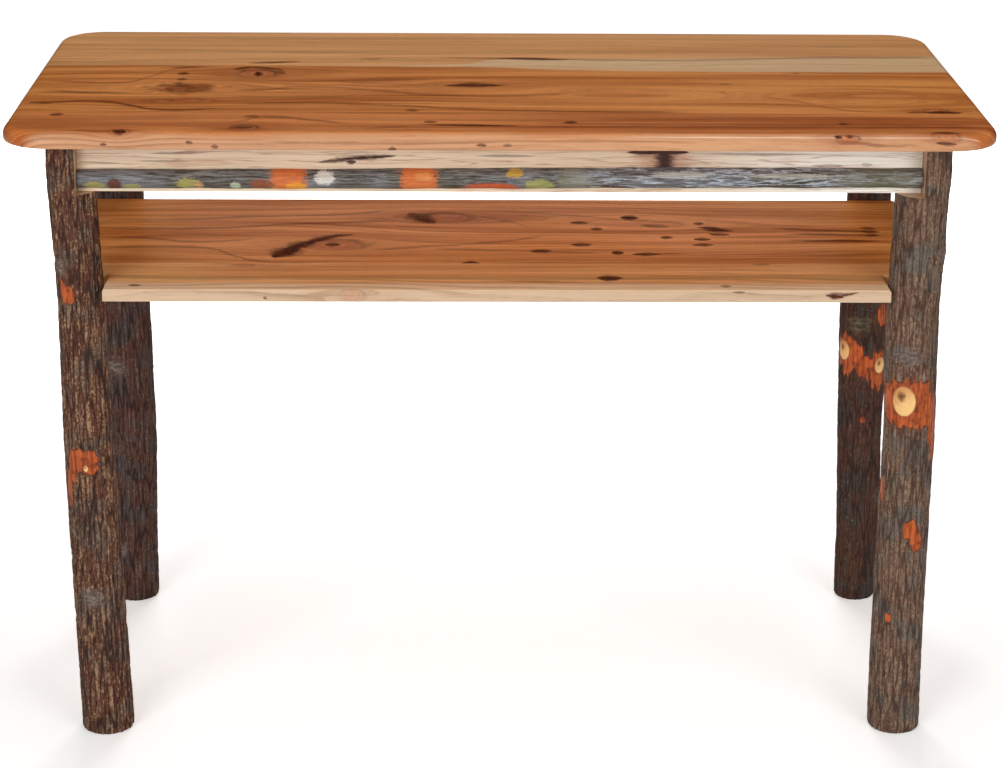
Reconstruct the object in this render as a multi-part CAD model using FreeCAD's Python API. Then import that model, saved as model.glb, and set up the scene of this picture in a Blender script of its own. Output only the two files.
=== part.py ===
import FreeCAD, Part
import os
from math import cos, radians, sin

# Rustic hickory table: a solid hickory top and a lower shelf on four bark-on poles.
# Millimetres. X runs along the table, +Y to its back, +Z up from the floor.
# The origin is on the floor, under the middle of the top.

Vec = FreeCAD.Vector
UP = Vec(0, 0, 1)

# Overall sizes
table_length = 1117.6
table_depth = 558.8
table_height = 762.0

# Top: three boards, glued edge to edge
top_thickness = 19.0
top_corner_radius = 57.0
top_edge_round = 12.5
top_under_ease = 3.0
top_board_width_shares = (0.376, 0.438, 0.186)

# Legs: natural poles. Each bends between its joints and is straight where it is cut for them.
# Sways and girths are shares of the nominal radius. The first four stand at the heights
# in the table, the fifth at the bearer's housing, and the last at the aprons.
front_leg_radius = 30.0
rear_leg_radius = 30.0
leg_end_inset = 75.6
leg_front_inset = 80.4
leg_rear_inset = 82.4
foot_ease = 2.5
joint_margin = 4.0
leg_height_shares = (0.0, 0.14, 0.32, 0.52)
front_left_sway_shares = (0.27, 0.19, 0.09, -0.01, -0.03, -0.19)
front_left_girth_shares = (1.03, 1.01, 1.0, 0.96, 0.91, 0.925)
front_right_sway_shares = (0.16, 0.10, 0.10, 0.09, -0.045, 0.01)
front_right_girth_shares = (1.05, 1.04, 1.02, 1.03, 1.02, 1.03)
rear_left_sway_shares = (-0.018, -0.009, 0.09, -0.009, -0.12, -0.14)
rear_left_girth_shares = (0.955, 0.98, 1.025, 1.045, 1.053, 1.053)
rear_right_sway_shares = (0.486, 0.474, 0.356, 0.245, 0.194, 0.18)
rear_right_girth_shares = (0.914, 0.936, 0.98, 1.03, 0.96, 0.9)
front_depth_sway_shares = (0.0, 0.05, 0.07, 0.02, -0.02, 0.0)
rear_depth_sway_shares = (0.0, 0.05, 0.07, 0.06, 0.09, 0.09)

# Aprons: boards let into notches in the poles
apron_thickness = 19.0
apron_height = 66.5
apron_face_offset = 8.0
apron_end_inset = 2.0
side_apron_offset = 15.0
side_apron_end_inset = 15.0
joint_gap = 0.3

# Bark trim: split saplings, flat side against the aprons
trim_radius = 11.7
trim_lift = 16.6
trim_rise = 3.0
trim_end_gap = 1.0
trim_swell_share = 0.04
trim_wave_share = 0.05
trim_station_shares = (-1.0, -0.8, -0.4, 0.0, 0.4, 0.8, 1.0)
trim_straight_share = 0.8
trim_swells = 2.6
trim_waves = 3.4

# Shelf: two boards, notched round the front poles, on a bearer at each end
shelf_drop = 110.0
shelf_thickness = 14.3
shelf_end_overhang = 33.0
shelf_front_overhang = 30.0
shelf_back_gap = 0.6
shelf_leg_gap = 1.2
shelf_edge_round = 3.0
shelf_front_board_share = 0.27
bearer_thickness = 19.0
bearer_height = 32.0
bearer_end_inset = 15.0

# Cleats that hold the top down
cleat_size = 22.0
cleat_end_gap = 14.0
slot_half_length = 5.0

# Fasteners, made with flat sides
fastener_sides = 6
screw_length = 35.0
apron_screw_length = 28.0
screw_radius = 2.1
screw_head_radius = 4.2
screw_head_height = 2.6
screw_fit = 0.15
screw_recess = 8.0
recess_radius = 6.0
apron_screw_inset = 9.0
brad_length = 26.0
brad_radius = 1.0
brad_head_radius = 1.7
brad_head_height = 1.0
brad_fit = 0.1

# Places of fasteners, as shares of the half-length of the piece that they go through
long_cleat_top_shares = (-0.76, -0.26, 0.26, 0.76)
long_cleat_apron_shares = (-0.88, -0.5, 0.5, 0.88)
short_cleat_top_shares = (-0.72, 0.0, 0.72)
short_cleat_apron_shares = (-0.4, 0.4)
bearer_screw_shares = (-0.7, 0.0, 0.62)
long_trim_brad_shares = (-0.84, -0.42, 0.0, 0.42, 0.84)
short_trim_brad_shares = (-0.75, 0.0, 0.75)

# One overrun serves all cuts
overrun = 5.0

# Places worked out from the sizes above
half_length = table_length / 2
half_depth = table_depth / 2
under_top = table_height - top_thickness
leg_x = half_length - leg_end_inset
front_leg_y = leg_front_inset - half_depth
rear_leg_y = half_depth - leg_rear_inset
apron_bottom = under_top - apron_height
apron_end_x = leg_x - apron_end_inset
side_face_x = leg_x + side_apron_offset
side_back_x = side_face_x - apron_thickness
front_face_y = front_leg_y - apron_face_offset
front_back_y = front_face_y + apron_thickness
rear_face_y = rear_leg_y + apron_face_offset
rear_back_y = rear_face_y - apron_thickness
trim_height = apron_bottom + trim_lift
shelf_top_height = apron_bottom - shelf_drop
shelf_half = leg_x + shelf_end_overhang
shelf_under = shelf_top_height - shelf_thickness
shelf_front_y = front_leg_y - shelf_front_overhang
shelf_back_y = rear_leg_y - rear_leg_radius - shelf_back_gap
bearer_bottom = shelf_under - bearer_height
cleat_bottom = under_top - cleat_size
long_cleat_half = leg_x - front_leg_radius - cleat_end_gap
short_cleat_front = front_leg_y + front_leg_radius + cleat_end_gap
short_cleat_back = rear_leg_y - rear_leg_radius - cleat_end_gap
side_cleat_x = side_back_x - cleat_size / 2
front_cleat_y = front_back_y + cleat_size / 2
rear_cleat_y = rear_back_y - cleat_size / 2


def box(x_low, x_high, y_low, y_high, z_low, z_high):
    """A box between two corners."""
    corner = Vec(x_low, y_low, z_low)
    return Part.makeBox(x_high - x_low, y_high - y_low, z_high - z_low, corner)


def between(low, high, share):
    """The place at a share from -1 to 1 of the half-length between two ends."""
    return (low + high) / 2 + share * (high - low) / 2


def placed(shape, point, direction):
    """A copy of a shape made at the origin along +Z, moved to a point and turned."""
    copy = shape.copy()
    copy.Placement = FreeCAD.Placement(point, FreeCAD.Rotation(UP, direction))
    return copy


def edges_at(shape, height):
    """The edges of a shape that lie level at a height."""
    near = joint_gap / 10
    found = []
    for edge in shape.Edges:
        if abs(edge.BoundBox.ZMin - height) < near and abs(edge.BoundBox.ZMax - height) < near:
            found.append(edge)
    return found


# Fasteners. Each is made at the origin with its head there and its tip along +Z.

def faceted(sections):
    """A solid with flat sides about Z, from (radius, height) sections."""
    rings = []
    for radius, height in sections:
        ring = []
        for side in range(fastener_sides + 1):
            angle = radians(360 * side / fastener_sides)
            ring.append(Vec(radius * cos(angle), radius * sin(angle), height))
        ring[-1] = ring[0]
        rings.append(ring)
    faces = [Part.Face(Part.makePolygon(rings[0])), Part.Face(Part.makePolygon(rings[-1]))]
    for low, high in zip(rings, rings[1:]):
        for side in range(fastener_sides):
            corners = [low[side], low[side + 1], high[side + 1], high[side], low[side]]
            faces.append(Part.Face(Part.makePolygon(corners)))
    return Part.Solid(Part.Shell(faces))


def screw(length, fit=0):
    """A countersunk wood screw, or with a fit the hole that it sits in."""
    return faceted([
        (screw_head_radius + fit, 0),
        (screw_radius + fit, screw_head_height),
        (screw_radius + fit, length + fit),
    ])


def brad(fit=0):
    """A small countersunk nail, or with a fit the hole that it sits in."""
    return faceted([
        (brad_head_radius + fit, 0),
        (brad_radius + fit, brad_head_height),
        (brad_radius + fit, brad_length + fit),
    ])


def top_screw_places():
    """Points and directions of the screws that go up through the cleats into the top."""
    places = []
    for y in (front_cleat_y, rear_cleat_y):
        for share in long_cleat_top_shares:
            places.append((Vec(between(-long_cleat_half, long_cleat_half, share), y, cleat_bottom), UP))
    for x in (-side_cleat_x, side_cleat_x):
        for share in short_cleat_top_shares:
            y = between(short_cleat_front, short_cleat_back, share)
            places.append((Vec(x, y, cleat_bottom), UP))
    return places


def cleat_screw_places():
    """Points and directions of the screws that hold the cleats to the aprons."""
    places = []
    height = cleat_bottom + cleat_size / 2
    for share in long_cleat_apron_shares:
        x = between(-long_cleat_half, long_cleat_half, share)
        places.append((Vec(x, front_back_y + cleat_size, height), Vec(0, -1, 0)))
        places.append((Vec(x, rear_back_y - cleat_size, height), Vec(0, 1, 0)))
    for share in short_cleat_apron_shares:
        y = between(short_cleat_front, short_cleat_back, share)
        places.append((Vec(side_back_x - cleat_size, y, height), Vec(1, 0, 0)))
        places.append((Vec(cleat_size - side_back_x, y, height), Vec(-1, 0, 0)))
    return places


def apron_screw_places():
    """Points and directions of the screws, under the bark trim, into the poles."""
    places = []
    for x in (apron_screw_inset - apron_end_x, apron_end_x - apron_screw_inset):
        places.append((Vec(x, front_face_y, trim_height), Vec(0, 1, 0)))
        places.append((Vec(x, rear_face_y, trim_height), Vec(0, -1, 0)))
    return places


def shelf_screw_places():
    """Points and directions of the screws that go up through the bearers into the shelf."""
    places = []
    low = front_leg_y + front_leg_radius
    high = rear_leg_y - rear_leg_radius
    for x in (-leg_x, leg_x):
        for share in bearer_screw_shares:
            places.append((Vec(x, between(low, high, share), bearer_bottom + screw_recess), UP))
    return places


def cut_holes(shape, hole, places):
    """The shape with the same hole cut at each place."""
    return shape.cut([placed(hole, point, direction) for point, direction in places])


# Poles

LEGS = {
    "leg_front_left": (-leg_x, front_leg_y, front_leg_radius, front_left_sway_shares,
                       front_depth_sway_shares, front_left_girth_shares),
    "leg_front_right": (leg_x, front_leg_y, front_leg_radius, front_right_sway_shares,
                        front_depth_sway_shares, front_right_girth_shares),
    "leg_rear_left": (-leg_x, rear_leg_y, rear_leg_radius, rear_left_sway_shares,
                      rear_depth_sway_shares, rear_left_girth_shares),
    "leg_rear_right": (leg_x, rear_leg_y, rear_leg_radius, rear_right_sway_shares,
                       rear_depth_sway_shares, rear_right_girth_shares),
}


def pole_ring(name, index, height, extra):
    """A round ring of a pole, with one of the sways and girths in its tables."""
    x, y, radius, sways, depth_sways, girths = LEGS[name]
    centre = Vec(x + radius * sways[index], y + radius * depth_sways[index], height)
    return Part.Wire([Part.Circle(centre, UP, radius * girths[index] + extra).toShape()])


def pole(name, extra=0):
    """A natural pole, cut flat at both ends, its foot eased. An extra makes it fatter."""
    bearer, apron = len(leg_height_shares), len(leg_height_shares) + 1
    levels = [(share * under_top, index) for index, share in enumerate(leg_height_shares)]
    levels[0] = (foot_ease, 0)
    levels += [
        (bearer_bottom - joint_margin, bearer),
        (shelf_under + joint_margin, bearer),
        (apron_bottom - joint_margin, apron),
        (under_top, apron),
    ]
    rings = [pole_ring(name, 0, 0, extra - foot_ease)]
    rings += [pole_ring(name, index, height, extra) for height, index in levels]
    return Part.makeLoft(rings, True, True)


def apron_notch(name):
    """The L-shaped notch for the front or rear apron, open at the pole's face and top."""
    x, y, radius = LEGS[name][:3]
    reach = 2 * radius
    if x < 0:
        x_low, x_high = -apron_end_x, x + reach
    else:
        x_low, x_high = x - reach, apron_end_x
    if y < 0:
        y_low, y_high = y - reach, front_back_y
    else:
        y_low, y_high = rear_back_y, y + reach
    return box(x_low, x_high, y_low, y_high, apron_bottom, under_top + overrun)


def side_housing(name, x_inner, x_outer, end_inset, z_low, z_high):
    """A housing in the side of a pole that faces its neighbour at the same end."""
    x, y, radius = LEGS[name][:3]
    reach = 2 * radius
    x_low, x_high = (x_inner, x_outer) if x > 0 else (-x_outer, -x_inner)
    if y < 0:
        return box(x_low, x_high, y + end_inset, y + reach, z_low, z_high)
    return box(x_low, x_high, y - reach, y - end_inset, z_low, z_high)


def leg(name):
    """A pole with its notch, its two housings and its screw hole."""
    cuts = [
        apron_notch(name),
        side_housing(name, side_back_x - joint_gap, side_face_x + joint_gap,
                     side_apron_end_inset, apron_bottom, under_top + overrun),
        side_housing(name, leg_x - bearer_thickness / 2 - joint_gap,
                     leg_x + bearer_thickness / 2 + joint_gap,
                     bearer_end_inset, bearer_bottom, shelf_under),
    ]
    shape = pole(name).cut(cuts)
    return cut_holes(shape, screw(apron_screw_length, screw_fit), apron_screw_places())


# Top

def top_panel():
    """The whole top: rounded corners in plan, rounded over above and eased below."""
    panel = box(-half_length, half_length, -half_depth, half_depth, under_top, table_height)
    corners = [edge for edge in panel.Edges if edge.BoundBox.ZLength > top_thickness / 2]
    panel = panel.makeFillet(top_corner_radius, corners)
    panel = panel.makeFillet(top_edge_round, edges_at(panel, table_height))
    return panel.makeChamfer(top_under_ease, edges_at(panel, under_top))


def top_boards():
    """The boards of the top, from the back to the front."""
    panel = cut_holes(top_panel(), screw(screw_length, screw_fit), top_screw_places())
    boards = {}
    y_high = half_depth
    for name, share in zip(("rear", "middle", "front"), top_board_width_shares):
        y_low = y_high - share * table_depth
        slab = box(-half_length - overrun, half_length + overrun, y_low, y_high,
                   under_top - overrun, table_height + overrun)
        boards["top_board_" + name] = panel.common(slab)
        y_high = y_low
    return boards


# Aprons

def aprons():
    """Four boards round the poles' tops, with holes for their screws and brads."""
    bottom, top = apron_bottom, under_top
    end = apron_end_x - joint_gap
    side_low = front_leg_y + side_apron_end_inset + joint_gap
    side_high = rear_leg_y - side_apron_end_inset - joint_gap
    boards = {
        "apron_front": box(-end, end, front_face_y, front_back_y, bottom, top),
        "apron_rear": box(-end, end, rear_back_y, rear_face_y, bottom, top),
        "apron_left": box(-side_face_x, -side_back_x, side_low, side_high, bottom, top),
        "apron_right": box(side_back_x, side_face_x, side_low, side_high, bottom, top),
    }
    for name in boards:
        shape = cut_holes(boards[name], screw(screw_length, screw_fit), cleat_screw_places())
        shape = cut_holes(shape, screw(apron_screw_length, screw_fit), apron_screw_places())
        boards[name] = cut_holes(shape, brad(brad_fit), brad_places())
    return boards


# Bark trim

def sapling(half, rise):
    """A split sapling along X with its flat side on the plane Y = 0, facing -Y.

    Its ends are straight, so that they can be coped."""
    sections = []
    for share in trim_station_shares:
        bend = max(-trim_straight_share, min(trim_straight_share, share))
        radius = trim_radius * (1 + trim_swell_share * sin(trim_swells * bend + 1))
        middle = rise * bend / 2 + trim_radius * trim_wave_share * sin(trim_waves * bend)
        low = Vec(half * share, 0, middle - radius)
        high = Vec(half * share, 0, middle + radius)
        bark = Part.Arc(low, Vec(half * share, -radius, middle), high)
        sections.append(Part.Wire([bark.toShape(), Part.LineSegment(high, low).toShape()]))
    return Part.makeLoft(sections, True, True)


def turned(shape, angle, x, y):
    """A shape turned about Z and moved to its apron's face."""
    shape.Placement = FreeCAD.Placement(Vec(x, y, trim_height), FreeCAD.Rotation(UP, angle))
    return shape


def brad_places():
    """Points and directions of the brads, from behind through the aprons into the trim."""
    places = []
    for share in long_trim_brad_shares:
        x = between(-apron_end_x, apron_end_x, share)
        height = trim_height + trim_rise * share / 2
        places.append((Vec(x, front_back_y, height), Vec(0, -1, 0)))
        places.append((Vec(-x, rear_back_y, height), Vec(0, 1, 0)))
    for share in short_trim_brad_shares:
        y = between(front_leg_y + front_leg_radius, rear_leg_y - rear_leg_radius, share)
        places.append((Vec(-side_back_x, y, trim_height), Vec(-1, 0, 0)))
        places.append((Vec(side_back_x, y, trim_height), Vec(1, 0, 0)))
    return places


def bark_trims():
    """Four split saplings: two end in the notches, two are coped round the poles."""
    long_half = apron_end_x - trim_end_gap
    side_half = (rear_leg_y - front_leg_y) / 2
    side_middle = (rear_leg_y + front_leg_y) / 2
    trims = {
        "bark_trim_front": turned(sapling(long_half, trim_rise), 0, 0, front_face_y),
        "bark_trim_rear": turned(sapling(long_half, trim_rise), 180, 0, rear_face_y),
        "bark_trim_left": turned(sapling(side_half, 0), -90, -side_face_x, side_middle),
        "bark_trim_right": turned(sapling(side_half, 0), 90, side_face_x, side_middle),
    }
    poles = [pole(name, joint_gap) for name in LEGS]
    for name in ("bark_trim_left", "bark_trim_right"):
        coped = trims[name].cut(poles)
        trims[name] = max(coped.Solids, key=lambda solid: solid.Volume)
    for name in trims:
        trims[name] = cut_holes(trims[name], brad(brad_fit), brad_places())
    return trims


# Shelf

def notch_side(name):
    """How far out the shelf may reach beside a front pole, from the pole's own bend and girth."""
    x, y, radius, sways, depth_sways, girths = LEGS[name]
    bearer = len(leg_height_shares)
    return abs(x + radius * sways[bearer]) - radius * girths[bearer] - shelf_leg_gap


def shelf_panel():
    """The whole shelf: notched square round the front poles, its upper arrises rounded."""
    half = shelf_half
    panel = box(-half, half, shelf_front_y, shelf_back_y, shelf_under, shelf_top_height)
    notch_y = front_leg_y + front_leg_radius * max(front_right_girth_shares) + shelf_leg_gap
    low, high = shelf_under - overrun, shelf_top_height + overrun
    panel = panel.cut([
        box(-half - overrun, -notch_side("leg_front_left"), shelf_front_y - overrun, notch_y, low, high),
        box(notch_side("leg_front_right"), half + overrun, shelf_front_y - overrun, notch_y, low, high),
    ])
    return panel.makeFillet(shelf_edge_round, edges_at(panel, shelf_top_height))


def shelf_boards():
    """The two boards of the shelf, back and front."""
    panel = cut_holes(shelf_panel(), screw(screw_length, screw_fit), shelf_screw_places())
    seam = shelf_front_y + shelf_front_board_share * (shelf_back_y - shelf_front_y)
    spans = {"rear": (seam, shelf_back_y + overrun), "front": (shelf_front_y - overrun, seam)}
    boards = {}
    for name, (y_low, y_high) in spans.items():
        slab = box(-half_length, half_length, y_low, y_high,
                   shelf_under - overrun, shelf_top_height + overrun)
        boards["shelf_board_" + name] = panel.common(slab)
    return boards


def shelf_bearers():
    """A bearer at each end, housed in the poles, with recessed screw holes."""
    low = front_leg_y + bearer_end_inset + joint_gap
    high = rear_leg_y - bearer_end_inset - joint_gap
    recess = faceted([(recess_radius, -screw_recess - overrun), (recess_radius, 0)])
    bearers = {}
    for name, x in (("left", -leg_x), ("right", leg_x)):
        bar = box(x - bearer_thickness / 2, x + bearer_thickness / 2, low, high,
                  bearer_bottom, shelf_under)
        bar = cut_holes(bar, recess, shelf_screw_places())
        bar = cut_holes(bar, screw(screw_length, screw_fit), shelf_screw_places())
        bearers["shelf_bearer_" + name] = bar
    return bearers


# Cleats

def slot_cuts():
    """Slots in the end cleats, so that the top can swell and shrink across its boards."""
    radius = screw_radius + screw_fit
    cuts = []
    for point, direction in top_screw_places():
        if abs(point.x) > long_cleat_half:
            cuts.append(box(point.x - radius, point.x + radius, point.y - slot_half_length,
                            point.y + slot_half_length, cleat_bottom - overrun, under_top))
    return cuts


def top_cleats():
    """Four strips behind the aprons: round holes in the long ones, slots in the end ones."""
    half = cleat_size / 2
    bars = {
        "top_cleat_front": box(-long_cleat_half, long_cleat_half, front_back_y,
                               front_back_y + cleat_size, cleat_bottom, under_top),
        "top_cleat_rear": box(-long_cleat_half, long_cleat_half, rear_back_y - cleat_size,
                              rear_back_y, cleat_bottom, under_top),
    }
    for name, x in (("left", -side_cleat_x), ("right", side_cleat_x)):
        bars["top_cleat_" + name] = box(x - half, x + half, short_cleat_front, short_cleat_back,
                                        cleat_bottom, under_top)
    for name in bars:
        shape = cut_holes(bars[name], screw(screw_length, screw_fit), top_screw_places())
        shape = cut_holes(shape, screw(screw_length, screw_fit), cleat_screw_places())
        bars[name] = shape.cut(slot_cuts())
    return bars


def fasteners():
    """Like screws, and the brads, each kind as one group of separate solids."""
    long_screw = screw(screw_length)
    short_screw = screw(apron_screw_length)
    kinds = {
        "top_screws": (long_screw, top_screw_places()),
        "cleat_screws": (long_screw, cleat_screw_places()),
        "apron_screws": (short_screw, apron_screw_places()),
        "shelf_screws": (long_screw, shelf_screw_places()),
        "trim_brads": (brad(), brad_places()),
    }
    groups = {}
    for name, (shape, places) in kinds.items():
        groups[name] = Part.makeCompound([placed(shape, point, way) for point, way in places])
    return groups


def main():
    """Builds every piece and writes one file for each."""
    pieces = {name: leg(name) for name in LEGS}
    for group in (top_boards, aprons, bark_trims, shelf_boards, shelf_bearers, top_cleats, fasteners):
        pieces.update(group())
    os.makedirs("parts", exist_ok=True)
    for name, shape in pieces.items():
        print(name, len(shape.Solids), "solids", round(shape.Volume), "mm3", shape.isValid())
        shape.exportStep("parts/" + name + ".step")


main()
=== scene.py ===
# %% [markdown]
# # A rustic hickory table
# Four crooked poles with their bark left on carry a solid hickory top and a lower shelf. Boards of
# pale sapwood are let into the poles under the top, and a split sapling runs along each of them.
# The CAD model is the frame: it is loaded first, and everything is placed from its own
# measurements.

# %% Load the frame
from math import cos, pi, radians, sin, tau
from random import Random

import bmesh
import bpy
import numpy as np
from mathutils import Matrix, Vector


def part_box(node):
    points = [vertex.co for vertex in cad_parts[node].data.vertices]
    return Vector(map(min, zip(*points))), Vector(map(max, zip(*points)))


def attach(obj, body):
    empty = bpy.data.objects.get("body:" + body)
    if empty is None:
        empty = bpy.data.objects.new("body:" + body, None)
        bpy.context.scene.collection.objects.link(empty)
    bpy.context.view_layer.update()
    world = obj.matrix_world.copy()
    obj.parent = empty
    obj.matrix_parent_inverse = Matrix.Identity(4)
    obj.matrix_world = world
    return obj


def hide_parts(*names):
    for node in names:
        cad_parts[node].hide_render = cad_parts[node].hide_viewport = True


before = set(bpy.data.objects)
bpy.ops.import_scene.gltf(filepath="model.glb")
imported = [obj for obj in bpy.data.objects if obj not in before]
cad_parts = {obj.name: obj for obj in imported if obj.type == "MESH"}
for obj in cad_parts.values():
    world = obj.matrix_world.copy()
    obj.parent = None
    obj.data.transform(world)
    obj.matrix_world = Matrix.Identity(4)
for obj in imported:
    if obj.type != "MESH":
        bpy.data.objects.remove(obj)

MM = 0.001
bpy.context.view_layer.update()

# %% [markdown]
# ## Writing node trees as sums
# Wood is a pile of small formulas: a line bends round a knot, a stripe darkens, a speck breaks it
# up. Wiring each by hand hides the idea, so one small class stands for the output of a node. Adding
# or multiplying two of them adds the math node and its links. It serves shaders and geometry alike.

# %% Wires
class Wire:
    """One output of a node. Sums written with wires become math nodes."""

    def __init__(self, tree, socket):
        self.tree, self.socket = tree, socket

    def __add__(self, other):
        return calc("ADD", self, other)

    def __sub__(self, other):
        return calc("SUBTRACT", self, other)

    def __rsub__(self, other):
        return calc("SUBTRACT", other, self)

    def __mul__(self, other):
        return calc("MULTIPLY", self, other)

    def __truediv__(self, other):
        return calc("DIVIDE", self, other)

    __radd__, __rmul__ = __add__, __mul__


print("a wire adds, subtracts, multiplies and divides")

# %% [markdown]
# A tree is built by adding nodes and joining their sockets. These helpers do both, and the last
# finds the tree that a wire belongs to, so that a formula never has to name it.

# %% Nodes and links
def add(tree, kind, **settings):
    """A new node with some of its settings."""
    made = tree.nodes.new(kind)
    for name, value in settings.items():
        setattr(made, name, value)
    return made


def feed(tree, socket, value):
    """Links a wire to a socket, or sets the socket's own value."""
    if isinstance(value, Wire):
        tree.links.new(value.socket, socket)
    else:
        socket.default_value = value


def wired(tree, kind, values, output=0, **settings):
    """A new node with its inputs fed, in order or by name, and the wire of one of its outputs."""
    made = add(tree, kind, **settings)
    for key, value in values.items() if isinstance(values, dict) else enumerate(values):
        feed(tree, made.inputs[key], value)
    return Wire(tree, made.outputs[output])


def tree_of(values):
    """The tree that the first wire among some values belongs to."""
    return next(value.tree for value in values if isinstance(value, Wire))


print("a socket takes a wire or a plain value")

# %% [markdown]
# These are the words that the formulas are written in. Each adds one node: sums of numbers and of
# vectors, and two that join three numbers to a vector and take them apart again.

# %% Sums of numbers and vectors
NUMBER_RESULTS = ("LENGTH", "DISTANCE", "DOT_PRODUCT")


def calc(operation, *values, clamp=False):
    """A math node on numbers."""
    return wired(tree_of(values), "ShaderNodeMath", values, operation=operation, use_clamp=clamp)


def vector(operation, *values):
    """A vector math node. Its second output is the number that some operations give."""
    output = 1 if operation in NUMBER_RESULTS else 0
    return wired(tree_of(values), "ShaderNodeVectorMath", values, output, operation=operation)


def scaled(value, factor):
    """A vector or a colour times a number."""
    values = {0: value, "Scale": factor}
    return wired(value.tree, "ShaderNodeVectorMath", values, operation="SCALE")


def joined(x, y, z):
    """A vector from three numbers."""
    return wired(tree_of((x, y, z)), "ShaderNodeCombineXYZ", (x, y, z))


def split(value):
    """The three numbers of a vector."""
    made = add(value.tree, "ShaderNodeSeparateXYZ")
    feed(value.tree, made.inputs[0], value)
    return [Wire(value.tree, output) for output in made.outputs]


print("these operations give a number:", *NUMBER_RESULTS)

# %% [markdown]
# Randomness comes from two textures: noise, which is smooth hills, and cells, which are scattered
# points with borders between them. `step` turns either into a mask with a soft edge, and `mix` lays
# one colour over another where a mask says so.

# %% Textures, masks and mixes
def noise(at, detail=2.0, roughness=0.5, scale=1.0, output=0):
    """Smooth random values round one half, or random vectors from the output `Color`."""
    values = {"Vector": at, "Scale": scale, "Detail": detail, "Roughness": roughness}
    return wired(at.tree, "ShaderNodeTexNoise", values, output)


def cells(at, feature="F1"):
    """The distance to the nearest of some random points, or to the edge between their cells."""
    values = {"Vector": at, "Scale": 1.0}
    return wired(at.tree, "ShaderNodeTexVoronoi", values, "Distance", feature=feature)


def step(value, low, high):
    """0 below low, 1 above high and smooth between them."""
    values = {"Value": value, "From Min": low, "From Max": high}
    return wired(tree_of((value, low, high)), "ShaderNodeMapRange", values, "Result",
                 interpolation_type="SMOOTHSTEP")


def mix(share, first, second):
    """The first colour where the share is 0 and the second where it is 1."""
    share_input, first_colour, second_colour, colour_output = 0, 6, 7, 2
    values = {share_input: share, first_colour: first, second_colour: second}
    return wired(tree_of((share, first, second)), "ShaderNodeMix", values, colour_output,
                 data_type="RGBA")


print("masks run from 0 to 1, and noise stays round 0.5")

# %% [markdown]
# Two more: a line drawn through given places, for the grain lines that a board really has, and a
# colour written as it looks on a screen. Blender works in linear light, so it is turned into that.

# %% Curves and colours
def curve(value, points, span, reach):
    """A smooth line through points: values in span come out in reach."""
    made = add(value.tree, "ShaderNodeFloatCurve")
    line = made.mapping.curves[0]
    width, height = span[1] - span[0], reach[1] - reach[0]
    places = [((x - span[0]) / width, (y - reach[0]) / height) for x, y in points]
    for index, place in enumerate(places):
        if index < 2:
            line.points[index].location = place
        else:
            line.points.new(*place)
    made.mapping.update()
    feed(value.tree, made.inputs["Value"], (value - span[0]) * (1 / width))
    return Wire(value.tree, made.outputs[0]) * height + reach[0]


def colour(red, green, blue):
    """A colour as seen on a screen, 0 to 255, in the linear values that Blender works in."""
    parts = [part / 255 for part in (red, green, blue)]
    linear = [p / 12.92 if p <= 0.04045 else ((p + 0.055) / 1.055) ** 2.4 for p in parts]
    return (*linear, 1.0)


print("a screen grey of 128 is", round(colour(128, 128, 128)[0], 3), "in linear light")

# %% [markdown]
# A node group is a formula with a name. The groups below are built once and placed in every
# material that needs them, each time with its own values.

# %% Groups
FLOAT, VECTOR, RGBA = "NodeSocketFloat", "NodeSocketVector", "NodeSocketColor"


def group(name, inputs, outputs, formula):
    """A shader group. The formula takes a wire for each input and returns one for each output."""
    tree = bpy.data.node_groups.new(name, "ShaderNodeTree")
    for label, kind in inputs.items():
        tree.interface.new_socket(label, in_out="INPUT", socket_type=kind)
    for label, kind in outputs.items():
        tree.interface.new_socket(label, in_out="OUTPUT", socket_type=kind)
    start, end = add(tree, "NodeGroupInput"), add(tree, "NodeGroupOutput")
    results = formula(*[Wire(tree, start.outputs[label]) for label in inputs])
    for label, result in zip(outputs, results):
        feed(tree, end.inputs[label], result)
    print("group", name, "has", len(tree.nodes), "nodes")
    return tree


def use(made_group, tree, *values):
    """Places a group in a tree, and gives its outputs in order."""
    placed = add(tree, "ShaderNodeGroup", node_tree=made_group)
    for socket, value in zip(placed.inputs, values):
        feed(tree, socket, value)
    outputs = [Wire(tree, output) for output in placed.outputs]
    return outputs[0] if len(outputs) == 1 else outputs


# %% [markdown]
# ## The grain of a sawn board
# A flat-sawn board cuts through the tree's yearly rings at a shallow angle. They show as dark lines
# that run along the board and open into pointed arches where the cut nears the heart. Here the
# board's cross direction is counted in rings and then pushed about by slow noise, so that lines of
# equal value meet and part as the rings do. Fine fibres and short dark pores lie on top.
# All lengths in the wood groups are in millimetres. Each noise reads the place times how many
# random hills there are in a millimetre: few along the board and many across it.

# %% Grain group
def grain_formula(point, cross, ring_width, seed):
    """Late wood, broad bands, fibres and pores, each from 0 to 1."""
    x, y, z = split(point)
    wander = noise(joined(x * 0.0016, cross * 0.010, seed))
    field = cross / ring_width + wander * 9.0
    small = noise(joined(x * 0.008, cross * 0.05, seed + 3.0))
    phase = calc("FRACT", field + small * 0.7)
    late = step(phase, 0.35, 0.93) * (1.0 - step(phase, 0.95, 1.0))
    shown = noise(joined(x * 0.0022, cross * 0.022, seed + 11.0))
    late = late * (0.15 + step(shown, 0.42, 0.64) * 0.85)
    bands = noise(joined(x * 0.0014, cross * 0.040, seed + 7.0), 5.0, 0.66)
    fibre = noise(joined(x * 0.012, cross * 0.8, z * 0.3 + seed), 3.0, 0.6)
    pore_field = noise(joined(x * 0.05, cross * 1.7, z + seed), 1.0)
    pores = step(pore_field, 0.62, 0.7) * step(phase, 0.1, 0.6)
    return late, bands, fibre, pores


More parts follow.
